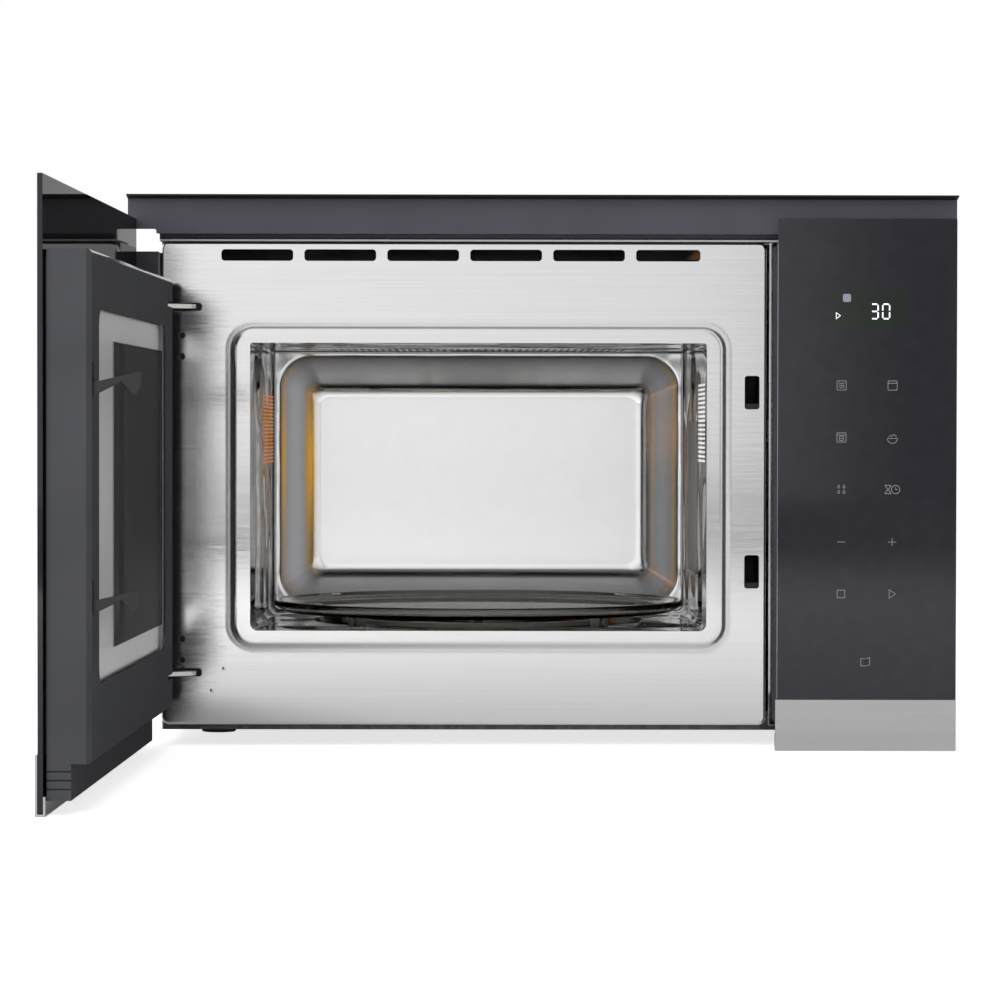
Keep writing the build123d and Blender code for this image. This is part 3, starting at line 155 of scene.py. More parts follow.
def put(tree, kind, settings=None, **inputs):
    """A node with its settings, and with inputs that are values or the outputs of other nodes."""
    node = tree.nodes.new(kind)
    for label, value in (settings or {}).items():
        setattr(node, label, value)
    for label, value in inputs.items():
        place = int(label[1:]) if label[0] == "_" else label.replace("_", " ")
        if isinstance(value, bpy.types.NodeSocket):
            tree.links.new(value, node.inputs[place])
        else:
            node.inputs[place].default_value = value
    return node


def feed(tree, node, **outputs):
    """Outputs of other nodes linked to a node's inputs."""
    for label, output in outputs.items():
        tree.links.new(output, node.inputs[label.replace("_", " ")])


def math_node(tree, operation, *values, kind="ShaderNodeMath"):
    """A math node on values or outputs, as its output."""
    inputs = {f"_{i}": value for i, value in enumerate(values)}
    return put(tree, kind, {"operation": operation}, **inputs).outputs[0]


def vector_math(tree, operation, *values):
    """The same for vectors."""
    return math_node(tree, operation, *values, kind="ShaderNodeVectorMath")


def noise(tree, place, scale, detail):
    """A noise pattern, as its output."""
    return put(tree, "ShaderNodeTexNoise", Vector=place, Scale=scale, Detail=detail).outputs[0]


def brushed_grain():
    """Fine lines: two noises drawn out along X, one for hair lines and one for broad streaks."""
    group, start, end = new_group("brushed grain", ("Shade", "Height"), Fineness=1.0)
    place, fineness = start.outputs["Vector"], start.outputs["Fineness"]
    fine = put(group, "ShaderNodeMapping", Vector=place, Scale=(12, 9000, 9000))
    wide = put(group, "ShaderNodeMapping", Vector=place, Scale=(2.5, 420, 420))
    hair = noise(group, fine.outputs[0], fineness, 3.0)
    streak = noise(group, wide.outputs[0], fineness, 2.0)
    mixed = math_node(group, "MULTIPLY_ADD", hair, 0.65, math_node(group, "MULTIPLY", streak, 0.35))
    feed(group, end, Shade=mixed, Height=hair)
    return group


def moulded_texture():
    """Spark-eroded plastic: a fine noise for the height, and a broad one for small changes of shade."""
    group, start, end = new_group("moulded texture", ("Shade", "Height"), Fineness=2500.0)
    place = start.outputs["Vector"]
    grit = noise(group, place, start.outputs["Fineness"], 2.0)
    cloud = noise(group, place, 14.0, 3.0)
    mixed = math_node(group, "MULTIPLY_ADD", grit, 0.4, math_node(group, "MULTIPLY", cloud, 0.6))
    feed(group, end, Shade=mixed, Height=grit)
    return group


def rolled_sheet():
    """Sheet that is never quite flat: a broad noise for waves and a middle one for handling marks."""
    group, start, end = new_group("rolled sheet", ("Marks", "Height"), Waves=22.0)
    place = start.outputs["Vector"]
    waves = noise(group, place, start.outputs["Waves"], 1.0)
    feed(group, end, Height=waves, Marks=noise(group, place, 90.0, 4.0))
    return group


def crystal_zinc():
    """Spangle of a zinc coat: the cells of a Voronoi pattern, each with its own shade."""
    group, start, end = new_group("crystal zinc", ("Shade", "Height"), Cells=190.0)
    place = start.outputs["Vector"]
    cells = put(group, "ShaderNodeTexVoronoi", Vector=place, Scale=start.outputs["Cells"])
    shade = put(group, "ShaderNodeSeparateColor", Color=cells.outputs["Color"])
    feed(group, end, Shade=shade.outputs[0], Height=noise(group, place, 900.0, 2.0))
    return group


def dot_screen():
    """Staggered dots: the distance to the nearest point of two square lattices, set half a step apart,
    under a radius."""
    group, start, end = new_group("dot screen", ("Dot",), Pitch=0.002, Radius=0.3)
    step = start.outputs["Pitch"]
    pitch = put(group, "ShaderNodeCombineXYZ", X=step, Y=step, Z=step).outputs[0]
    scaled = vector_math(group, "DIVIDE", start.outputs["Vector"], pitch)
    near = []
    for shift in (0.0, 0.5):
        moved = vector_math(group, "ADD", scaled, (shift, shift, shift))
        centred = vector_math(group, "SUBTRACT", vector_math(group, "FRACTION", moved), (0.5, 0.5, 0.5))
        _, y, z = put(group, "ShaderNodeSeparateXYZ", Vector=centred).outputs
        square = math_node(group, "MULTIPLY_ADD", y, y, math_node(group, "MULTIPLY", z, z))
        near.append(math_node(group, "SQRT", square))
    nearest = math_node(group, "MINIMUM", *near)
    feed(group, end, Dot=math_node(group, "LESS_THAN", nearest, start.outputs["Radius"]))
    return group


GRAIN, MOULD, SHEET = brushed_grain(), moulded_texture(), rolled_sheet()
ZINC, DOTS = crystal_zinc(), dot_screen()


# Materials

def start_material(name, **constants):
    """A Principled material with its constant sockets set."""
    material = bpy.data.materials.new(name)
    material.use_nodes = True
    tree = material.node_tree
    shader = tree.nodes["Principled BSDF"]
    for label, value in constants.items():
        shader.inputs[label.replace("_", " ")].default_value = value
    return material, tree, shader


def object_place(tree):
    """Object coordinates: metres in the shared frame, with the piece as it stands at rest."""
    return put(tree, "ShaderNodeTexCoord").outputs["Object"]


def split_place(tree, place):
    """The X, Y and Z of a vector, as three outputs."""
    return put(tree, "ShaderNodeSeparateXYZ", Vector=place).outputs


def attribute(tree, label):
    """A value that the mesh carries at its points."""
    return put(tree, "ShaderNodeAttribute", {"attribute_name": label}).outputs["Fac"]


def use_group(tree, group, place=None, **inputs):
    """A shader group in a material, on object coordinates if no place is given."""
    if place is None:
        place = object_place(tree)
    return put(tree, "ShaderNodeGroup", {"node_tree": group}, Vector=place, **inputs)


def between(tree, value, low, high, first, second):
    """A shade from first to second as a value goes from low to high."""
    ramp = put(tree, "ShaderNodeValToRGB", Fac=value)
    for stop, place, shade in zip(ramp.color_ramp.elements, (low, high), (first, second)):
        stop.position, stop.color = place, (*shade, 1)
    return ramp.outputs[0]


def blend(tree, share, first, second):
    """A colour from first to second by a share from 0 to 1."""
    return put(tree, "ShaderNodeMix", {"data_type": "RGBA"}, _0=share, _6=first, _7=second).outputs[2]


def graded(tree, value, first, last, low=0.0, high=1.0, way="LINEAR"):
    """A value from low to high as another goes from first to last."""
    limits = {"From_Min": first, "From_Max": last, "To_Min": low, "To_Max": high}
    return put(tree, "ShaderNodeMapRange", {"interpolation_type": way}, Value=value, **limits).outputs[0]


def ranged(tree, value, low, high):
    """A noise value of about a third to two thirds spread from low to high."""
    return graded(tree, value, 0.3, 0.7, low, high)


def zone(tree, value, low, high):
    """One where a value lies between two limits, and nought elsewhere."""
    return math_node(tree, "MULTIPLY", math_node(tree, "GREATER_THAN", value, low),
                     math_node(tree, "LESS_THAN", value, high))


def raise_surface(tree, shader, height, strength, distance):
    """A bump on the shader's normal."""
    bump = put(tree, "ShaderNodeBump", Height=height, Strength=strength, Distance=distance)
    feed(tree, shader, Normal=bump.outputs[0])


def brushed_steel(name, dark, light, rough, fineness=1.0, pressed=None):
    """Satin steel with a grain: hair lines change its shade, its roughness and its height. A value of the
    mesh that tells where it was pressed can dull it."""
    material, tree, shader = start_material(name, Metallic=1.0)
    grain = use_group(tree, GRAIN, Fineness=fineness)
    shade = grain.outputs["Shade"]
    dull = ranged(tree, shade, rough - 0.03, rough + 0.04)
    if pressed:
        dull = math_node(tree, "ADD", dull, math_node(tree, "MULTIPLY", attribute(tree, pressed), 0.30))
    feed(tree, shader, Base_Color=between(tree, shade, 0.3, 0.7, dark, light), Roughness=dull)
    raise_surface(tree, shader, grain.outputs["Height"], 0.5, 0.000012)
    return material


def polished_steel(name, dark, light, rough, waves=22.0, bump=0.25, distance=0.002, edge=1.0):
    """Bright rolled steel with slow waves and faint handling marks, and a shade for grazing light."""
    material, tree, shader = start_material(name, Metallic=1.0, Specular_Tint=(edge, edge, edge, 1))
    sheet = use_group(tree, SHEET, Waves=waves)
    marks = sheet.outputs["Marks"]
    feed(tree, shader, Base_Color=between(tree, marks, 0.3, 0.7, dark, light),
         Roughness=ranged(tree, marks, rough, rough + 0.06))
    raise_surface(tree, shader, sheet.outputs["Height"], bump, distance)
    return material


def moulded(name, dark, light, rough, metallic=0.0, fineness=2500.0, bump=0.1, gloss=0.3, **constants):
    """Moulded or painted surface with a fine texture."""
    material, tree, shader = start_material(name, Metallic=metallic, Specular_IOR_Level=gloss, **constants)
    texture = use_group(tree, MOULD, Fineness=fineness)
    shade = texture.outputs["Shade"]
    feed(tree, shader, Base_Color=between(tree, shade, 0.35, 0.65, dark, light),
         Roughness=ranged(tree, shade, rough - 0.04, rough + 0.05))
    raise_surface(tree, shader, texture.outputs["Height"], bump, 0.0001)
    return material


def zinc_coat(name, dark, light, **constants):
    """Zinc coated sheet with its spangle."""
    material, tree, shader = start_material(name, Metallic=0.95, **constants)
    spangle = use_group(tree, ZINC)
    shade = spangle.outputs["Shade"]
    feed(tree, shader, Base_Color=between(tree, shade, 0.1, 0.9, dark, light),
         Roughness=ranged(tree, shade, 0.34, 0.42))
    raise_surface(tree, shader, spangle.outputs["Height"], 0.05, 0.0002)
    return material


def back_printed_glass(name, dark, light, rough, index=1.5, marks=0.02):
    """Glass with a dark print behind it: a plain gloss with very faint wiping marks."""
    material, tree, shader = start_material(name, IOR=index)
    sheet = use_group(tree, SHEET, Waves=6.0)
    feed(tree, shader, Base_Color=between(tree, sheet.outputs["Marks"], 0.3, 0.7, dark, light),
         Roughness=ranged(tree, sheet.outputs["Height"], rough, rough + marks))
    return material


def clear_glass(name, tint, rough, index=1.5):
    """See-through glass: full transmission, tinted, with faint marks in its roughness."""
    material, tree, shader = start_material(name, Base_Color=(*tint, 1), Transmission_Weight=1.0, IOR=index)
    sheet = use_group(tree, SHEET, Waves=9.0)
    feed(tree, shader, Roughness=ranged(tree, sheet.outputs["Marks"], rough, rough + 0.03))
    return material


def dotted_enamel(name, sheet_shade, hole_shade, pitch, radius):
    """Door screen: black enamel with a fine screen of holes, in a light steel border that is a painted
    reflection.
    """
    middle, half_height, free_side = 0.1805, 0.0965, -0.330  # of the enamel, in metres
    material, tree, shader = start_material(name, Specular_IOR_Level=0.02)
    place = object_place(tree)
    dots = use_group(tree, DOTS, place, Pitch=pitch, Radius=radius)
    _, along, height = split_place(tree, place)
    off_middle = math_node(tree, "ABSOLUTE", math_node(tree, "SUBTRACT", height, middle))
    # The light border is a painted reflection of what the pane mirrors, widest on the free side.
    painted_reflection_border = math_node(tree, "MAXIMUM", math_node(tree, "GREATER_THAN", off_middle, half_height),
                     math_node(tree, "LESS_THAN", along, free_side))
    enamel = between(tree, dots.outputs["Dot"], 0.0, 1.0, sheet_shade, hole_shade)
    feed(tree, shader, Base_Color=blend(tree, painted_reflection_border, enamel, (0.80, 0.80, 0.81, 1)), Metallic=painted_reflection_border,
         Roughness=graded(tree, painted_reflection_border, 0.0, 1.0, 0.7, 0.36))
    return material


def lit(name, shade, glow, strength):
    """A surface that glows by itself, a little unevenly."""
    material, tree, shader = start_material(
        name, Base_Color=(*shade, 1), Emission_Strength=strength, Roughness=0.4)
    texture = use_group(tree, MOULD, Fineness=400.0)
    faint = tuple(0.9 * c for c in glow)
    feed(tree, shader, Emission_Color=between(tree, texture.outputs["Shade"], 0.3, 0.6, faint, glow))
    return material


def grey(level):
    """The same level in the three colours."""
    return (level, level, level)


FACE_STEEL = (grey(0.73), grey(0.83), 0.06)  # darkest and lightest shade, and roughness
DARK_PLASTIC = ((0.050, 0.051, 0.057), (0.062, 0.063, 0.070), 0.6)
ZINC_SHADES = ((0.55, 0.565, 0.58), (0.61, 0.625, 0.64))

finishes = {
    "face_steel": brushed_steel("face plate steel", *FACE_STEEL),
    "oven_steel": polished_steel("oven wall steel", (0.38, 0.38, 0.385), (0.46, 0.46, 0.465), 0.03,
                                 waves=10.0, bump=1.0, distance=0.012, edge=0.4),
    "mica": moulded("mica sheet", (0.20, 0.19, 0.18), (0.34, 0.32, 0.30), 0.45, fineness=300.0, bump=0.2),
    "zinc_sheet": zinc_coat("zinc sheet", *ZINC_SHADES),
    "rail_coat": moulded("flange coat", (0.028, 0.027, 0.034), (0.038, 0.037, 0.046), 0.40, bump=0.2,
                         fineness=1500.0),
    "strip_steel": brushed_steel("strip steel", grey(0.52), grey(0.62), 0.22, fineness=0.8),
    "front_glass": back_printed_glass("front glass", (0.014, 0.0134, 0.0185), (0.018, 0.0170, 0.0230), 0.03),
    "inner_glass": clear_glass("inner pane glass", grey(0.94), 0.0, 1.006),
    "tray_glass": clear_glass("tray glass", (0.50, 0.50, 0.455), 0.01, 1.14),
    "dark_plastic": moulded("dark plastic", *DARK_PLASTIC, gloss=0.02),
    "black_plastic": moulded("black plastic", grey(0.010), grey(0.016), 0.45),
    "latch_plastic": moulded("latch plastic", grey(0.028), grey(0.038), 0.5, gloss=0.05),
    "ring_plastic": moulded("ring plastic", (0.11, 0.105, 0.10), (0.15, 0.145, 0.135), 0.4),
    "foot_rubber": moulded("foot rubber", grey(0.010), grey(0.018), 0.7, fineness=900.0),
    "bond_rubber": moulded("bond rubber", grey(0.008), grey(0.012), 0.6, fineness=900.0),
    "hinge_steel": polished_steel("hinge steel", (0.55, 0.54, 0.52), (0.68, 0.67, 0.65), 0.22, waves=60.0,
                                  bump=0.1),
    "screen_black": dotted_enamel("screen enamel", grey(0.010), grey(0.045), pitch=0.0022, radius=0.30),
    "magnetron_metal": polished_steel("magnetron metal", grey(0.45), grey(0.58), 0.3),
    "core_iron": moulded("core iron", (0.05, 0.045, 0.04), (0.09, 0.075, 0.06), 0.5, metallic=0.6,
                         fineness=600.0),
    "can_aluminium": polished_steel("can aluminium", grey(0.55), grey(0.66), 0.28),
    "board_green": moulded("board laminate", (0.02, 0.09, 0.04), (0.03, 0.13, 0.06), 0.35, fineness=500.0),
    "lamp_glass": lit("lamp glass", (1.0, 0.8, 0.5), (1.0, 0.50, 0.14), 2.0),
    "quartz": clear_glass("quartz tube", (0.90, 0.88, 0.84), 0.05),
    "holder_ceramic": moulded("holder ceramic", (0.60, 0.59, 0.56), (0.70, 0.69, 0.66), 0.5, fineness=700.0),
}


def lever_steel():
    """Bright lever, painted black behind the face plate as painted shade: the shade changes at the plate's
    depth."""
    plate_front, shade_full_depth = 0.0146, 0.0152  # depths in metres
    material, tree, shader = start_material("hinge lever steel")
    place = object_place(tree)
    sheet = use_group(tree, SHEET, place, Waves=60.0)
    _, depth, _ = split_place(tree, place)
    # Painted shade: the lever turns black where it lies behind the plate, so its slots read dark.
    behind_plate_shade = graded(tree, depth, plate_front, shade_full_depth)
    bright = between(tree, sheet.outputs["Marks"], 0.3, 0.7, (0.55, 0.54, 0.52), (0.72, 0.71, 0.69))
    feed(tree, shader, Base_Color=blend(tree, behind_plate_shade, bright, (0.006, 0.006, 0.006, 1)),
         Metallic=math_node(tree, "SUBTRACT", 1.0, behind_plate_shade),
         Roughness=graded(tree, behind_plate_shade, 0.0, 1.0, 0.22, 0.8))
    return material


def casing_sheet():
    """Zinc coated casing with painted light: a faint orange glow on the inside of its top, by the right
    vent."""
    top = node_box("outer_casing")[1][2] * MM
    begins, full = 0.1165, 0.1235  # where the light comes up from left to right, in metres
    limits = ((0.100, 0.131), (0.100, 0.260), (top - 0.0015, top - 0.0007))  # its room along X, Y and Z
    material = zinc_coat("casing sheet", *ZINC_SHADES, Emission_Strength=0.07)
    tree = material.node_tree
    place = split_place(tree, object_place(tree))
    # Painted light: the casing glows orange inside this zone.
    painted_glow = graded(tree, place[0], begins, full)
    for value, (low, high) in zip(place, limits):
        painted_glow = math_node(tree, "MULTIPLY", painted_glow, zone(tree, value, low, high))
    feed(tree, tree.nodes["Principled BSDF"],
         Emission_Color=between(tree, painted_glow, 0.0, 1.0, (0, 0, 0), (1.0, 0.46, 0.18)))
    return material


def frame_plastic():
    """Dark plastic of the door frame, smooth on the rounded edge of its upper side: a coat where the face
    leans up."""
    least_lean, most_lean = 0.2, 0.98  # Z of the face's normal
    material = moulded("door frame plastic", *DARK_PLASTIC, gloss=0.02, Coat_Roughness=0.08)
    tree = material.node_tree
    _, _, lean = split_place(tree, put(tree, "ShaderNodeNewGeometry").outputs["True Normal"])
    feed(tree, tree.nodes["Principled BSDF"], Coat_Weight=zone(tree, lean, least_lean, most_lean))
    return material


def rail_coat():
    """Dark coat of the rail, black on the lip in front of the rail's face as painted shade. The step behind
    the face has a light strip of uncoated steel at its foot and over it a black band, painted shade of the
    gap."""
    lip_root, lip_shade_full = -0.0034, -0.0038  # depths in metres
    step_front, step_back = 0.004, 0.0085
    foot = node_box("top_rail")[0][2] * MM
    strip_foot, strip_top, gap_shade_top = foot + 0.00005, foot + 0.00135, foot + 0.0027  # heights on the step
    material, tree, shader = start_material("rail coat", Specular_IOR_Level=0.3)
    place = object_place(tree)
    texture = use_group(tree, MOULD, place, Fineness=1500.0)
    shade = texture.outputs["Shade"]
    coat = between(tree, shade, 0.35, 0.65, (0.048, 0.046, 0.058), (0.062, 0.060, 0.074))
    _, depth, height = split_place(tree, place)
    on_step = zone(tree, depth, step_front, step_back)
    # Painted shade: a black band over the strip for the gap, and black on the lip.
    gap_shade = math_node(tree, "MULTIPLY", on_step, zone(tree, height, strip_top, gap_shade_top))
    strip = math_node(tree, "MULTIPLY", on_step, zone(tree, height, strip_foot, strip_top))
    black = math_node(tree, "MAXIMUM", graded(tree, depth, lip_root, lip_shade_full), gap_shade)
    dark = blend(tree, black, coat, (0.006, 0.006, 0.007, 1))
    feed(tree, shader, Base_Color=blend(tree, strip, dark, (0.62, 0.62, 0.63, 1)),
         Roughness=ranged(tree, shade, 0.36, 0.45))
    raise_surface(tree, shader, texture.outputs["Height"], 0.2, 0.0001)
    return material


node_finish = {
    # The base sheet is darker than the casing's zinc: painted shade for the shadow under the oven.
    "base_plate": zinc_coat("base sheet", grey(0.07), grey(0.11)),
    "hinge_arm_upper": lever_steel(),
    "exhaust_duct": moulded("duct plastic", grey(0.005), grey(0.010), 0.5, fineness=900.0),
    "outer_casing": casing_sheet(),
    "top_rail": rail_coat(),
    "door_frame": frame_plastic(),
    "door_glass": back_printed_glass("door glass", (0.012, 0.0115, 0.0155), (0.015, 0.0145, 0.0190), 0.03,
                                     index=1.4),
}
node_finish["hinge_arm_lower"] = node_finish["hinge_arm_upper"]
node_finish["latch_bracket"] = node_finish["door_switches"] = finishes["black_plastic"]
node_slot = {entry["node"]: entry["material_slot"] for entry in frame["record"]["subparts"]}
for node_name, node in nodes.items():
    node.data.materials.clear()
    node.data.materials.append(node_finish.get(node_name, finishes[node_slot[node_name]]))

# Rounded edges on the CAD pieces in view, with their widths in millimetres
EDGE_WIDTHS = {
    "face_plate": 0.5, "panel_carrier": 0.4, "top_rail": 0.35, "control_strip": 0.3, "door_strip": 0.3,
    "control_glass": 0.5, "door_glass": 0.5, "door_frame": 0.6, "latch_hooks": 0.4, "hinge_arm_upper": 0.3,
    "hinge_arm_lower": 0.3, "control_housing": 0.5, "outer_casing": 0.3, "flange_left": 0.3,
    "flange_right": 0.3, "base_plate": 0.3, "cord_gland": 0.6, "roller_ring": 0.5, "drive_coupler": 0.5,
    "waveguide_cover": 0.2,
}
for node_name, width in EDGE_WIDTHS.items():
    add_weld(nodes[node_name], "weld", 0.02)
    round_edge = nodes[node_name].modifiers.new("edge", "BEVEL")
    round_edge.width = width * MM
    round_edge.segments = 2
    round_edge.limit_method = "ANGLE"
    round_edge.angle_limit = math.radians(32)


# Oven: the drawn rear pan and the perforated screens

SHEET_WALL = 1.2  # thickness of the oven's sheet
PAN_LOW, PAN_HIGH = node_box("cavity_back")
OVEN_X, _, OVEN_Z = (PAN_LOW + PAN_HIGH) / 2
HALF_WIDTH, _, HALF_HEIGHT = (PAN_HIGH - PAN_LOW) / 2 - SHEET_WALL  # of the oven's inside


def pan_steel():
    """Steel of the rear pan, with light and shade painted by values of its mesh: the slope has painted shade
    and a faint painted glow, the folds have painted shade, and gold bands glow as a painted reflection of
    the lamp. It is wavy only where it was strained."""
    material, tree, shader = start_material("drawn pan steel", Metallic=1.0, Emission_Strength=1.0)
    sheet = use_group(tree, SHEET, Waves=30.0)
    drawn, dark, temper, strain = (attribute(tree, label) for label in ("drawn", "dark", "temper", "strain"))
    plain = between(tree, sheet.outputs["Marks"], 0.3, 0.7, (0.92, 0.92, 0.925), (0.945, 0.945, 0.95))
    # Painted shade on the slope and in the folds, and painted light where the slope and the gold bands glow.
    slope = blend(tree, drawn, plain, (0.78, 0.78, 0.79, 1))
    fold_shaded = blend(tree, dark, slope, (0.05, 0.048, 0.045, 1))
    slope_glow = blend(tree, drawn, (0, 0, 0, 1), (0.25, 0.25, 0.26, 1))
    feed(tree, shader, Base_Color=blend(tree, temper, fold_shaded, (0.60, 0.30, 0.03, 1)),
         Emission_Color=blend(tree, temper, slope_glow, (0.46, 0.25, 0.03, 1)),
         Roughness=ranged(tree, sheet.outputs["Marks"], 0.15, 0.17))
    raise_surface(tree, shader, math_node(tree, "MULTIPLY", sheet.outputs["Height"], strain), 0.5, 0.006)
    return material


def hump(value, middle, width):
    """A bell curve of height one."""
    return np.exp(-((value - middle) / width) ** 2)


def carry_values(piece, **values):
    """Values from 0 to 1 at the points of a piece, for its material."""
    for label, numbers in values.items():
        layer = piece.data.attributes.new(label, "FLOAT", "POINT")
        layer.data.foreach_set("value", np.clip(numbers, 0, 1).astype(np.float32))


def drawn_pan():
    """Rear pan of the oven: rounded rectangles carried along a profile from the skirt's front edge over a
    rounded shoulder and down a slope to the flat back, with each bend an arc. The share of a row is its
    place on the profile: 0 skirt, 1 shoulder, 2 bend into the back."""
    skirt_front, back = PAN_LOW[1], PAN_HIGH[1] - SHEET_WALL
    flange = skirt_front + 14.0
    mouth, panel = (162.75, 102.05), (135.5, 75.0)
    fold_radius, shoulder_radius, back_radius = 1.2, 3.0, 18.0
    profiles = []
    for side, mouth_half, panel_half in zip((HALF_WIDTH, HALF_HEIGHT), mouth, panel):
        slope_top = bend((side, flange), (mouth_half, flange), (panel_half, back), shoulder_radius, 7)
        slope_end = bend((mouth_half, flange), (panel_half, back), (0, back), back_radius, 13)
        profiles.append(np.concatenate([
            [(side, skirt_front), (side, skirt_front + 6)],
            bend((side, skirt_front), (side, flange), (mouth_half, flange), fold_radius, 5),
            slope_top,
            slope_top[-1] + (slope_end[0] - slope_top[-1]) * np.linspace(0.06, 0.94, 15)[:, None],
            slope_end,
            slope_end[-1:] - np.array([[3.0, 0.0]]),
        ]))
    share = np.concatenate([[0, 0.1], np.linspace(0.2, 0.6, 5), np.linspace(0.85, 1.15, 7),
                            np.linspace(1.192, 1.808, 15), np.linspace(1.85, 2.15, 13), [2.4]])
    corner_share = [0, 0.6, 0.85, 1.15, 1.85, 2.4]
    corner_top = np.interp(share, corner_share, [2.0, 2.5, 25.0, 26.0, 12.0, 8.0])
    corner_low = np.interp(share, corner_share, [5.5, 6.0, 25.0, 26.0, 12.0, 8.0])
    rows, gold, dark, drawn = [], [], [], []
    for (half_width, depth), (half_height, _), top, low, step in zip(
            *profiles, corner_top, corner_low, share):
        loop = rounded_loop(half_width, half_height, (top, top, low, low), runs=11)
        rows.append(np.stack([OVEN_X + loop[:, 0], np.full(len(loop), depth), OVEN_Z + loop[:, 1]], -1))
        along = np.roll(loop, -1, 0) - np.roll(loop, 1, 0)
        along = along / np.linalg.norm(along, axis=1)[:, None]
        # Painted light by side: gold bands of painted reflection, painted shade and glow on the slope and
        # folds.
        left = np.clip(-along[:, 1], 0, 1) ** 2
        right = np.clip(along[:, 1], 0, 1) ** 2
        level = along[:, 0] ** 2
        left_bands = hump(step, 1.235, 0.05) + hump(step, 1.90, 0.11)
        right_bands = hump(step, 1.22, 0.05) + hump(step, 1.76, 0.035)
        gold.append(left * left_bands * (0.22 + 0.78 * hump(loop[:, 1], 16, 52)) + 0.3 * right * right_bands)
        swell = math.sin(min(max((step - 1.12) / 0.80, 0), 1) * math.pi) ** 0.6
        drawn.append(swell * (left + 0.66 * right + 0.46 * level))
        fold, shoulder = hump(step, 1.95, 0.08), hump(step, 1.0, 0.10)
        dark.append(fold * (0.2 + 0.65 * level) + 0.35 * shoulder * (0.3 + level))
    columns = len(rows[0])
    faces = skin(len(rows), columns)
    faces.append(list(range((len(rows) - 1) * columns, len(rows) * columns)))
    pan = make_piece("oven_pan", np.concatenate(rows), faces, "body", pan_steel())
    pan.data.polygons[len(faces) - 1].use_smooth = False
    on_flange = np.repeat((share > 0.15) & (share < 1.05), columns)
    carry_values(pan, temper=np.concatenate(gold), dark=np.concatenate(dark), drawn=np.concatenate(drawn),
                 strain=0.02 + on_flange)
    add_wall(pan, SHEET_WALL, 1.0)
    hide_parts("cavity_back")


def perforated_sheet(name, node, hole_finish, across, up, inner_corner, pitch, radius):
    """A sheet of square cells with round holes: in each cell eight points on the square's rim and eight on
    the hole's circle are joined by quads, and the cells repeat over the sheet. Its border cells are all
    but closed. Its face is the side of the CAD sheet at that sheet's least (0) or greatest (1) corner."""
    low, high = node_box(node)
    across, up = np.array(across), np.array(up)
    size = np.abs([across @ (high - low), up @ (high - low)])
    in_sheet = np.abs(across) + np.abs(up) > 0
    centre = np.where(in_sheet, (low + high) / 2, (low, high)[inner_corner])
    columns, rows = (int(round(s / pitch)) for s in size)
    step = np.array([size[0] / columns, size[1] / rows])
    angle = np.arange(8) * math.pi / 4
    circle = np.stack([np.cos(angle), np.sin(angle)], -1)
    square = circle / np.abs(circle).max(1)[:, None] * 0.5
    column, row = (a.ravel() for a in np.meshgrid(np.arange(columns), np.arange(rows), indexing="ij"))
    middle = (np.stack([column, row], -1) + 0.5) * step - size / 2
    rim = middle[:, None] + square[None] * step
    border = (column == 0) | (row == 0) | (column == columns - 1) | (row == rows - 1)
    hole = middle[:, None] + circle[None] * np.where(border, radius * 0.02, radius)[:, None, None]
    flat = np.concatenate([rim, hole], 1).reshape(-1, 2)
    points = centre + flat[:, :1] * across + flat[:, 1:] * up
    k = np.arange(8)
    cell = np.stack([k, (k + 1) % 8, (k + 1) % 8 + 8, k + 8], -1)
    faces = (np.arange(columns * rows)[:, None, None] * 16 + cell[None]).reshape(-1, 4).tolist()
    sheet = make_piece(name, points, faces, "body", finishes["oven_steel"], smooth=False)
    sheet.data.materials.append(hole_finish)
    add_weld(sheet, "join", 0.05)
    add_wall(sheet, SHEET_WALL, -1.0).material_offset_rim = 1
    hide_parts(node)


drawn_pan()
# Near-black hole rims in the grill: painted shade in its holes.
perforated_sheet(
    "grill_mesh", "grill_screen", moulded("grill hole rim", grey(0.008), grey(0.014), 0.6),
    across=(1, 0, 0), up=(0, -1, 0), inner_corner=0, pitch=5.4, radius=1.8)
# Orange glowing hole rims in the lamp screen: painted light of the lamp behind them.
perforated_sheet(
    "lamp_mesh", "lamp_screen", lit("lamp hole rim", (0.4, 0.2, 0.05), (1.0, 0.32, 0.03), 0.5),
    across=(0, 1, 0), up=(0, 0, 1), inner_corner=1, pitch=2.8, radius=0.95)
# White glowing hole rims in the inlet: painted light coming through the holes.
perforated_sheet(
    "inlet_mesh", "inlet_screen", lit("inlet hole rim", grey(0.5), (0.95, 0.97, 1.0), 0.8),
    across=(0, -1, 0), up=(0, 0, 1), inner_corner=0, pitch=3.3, radius=1.1)


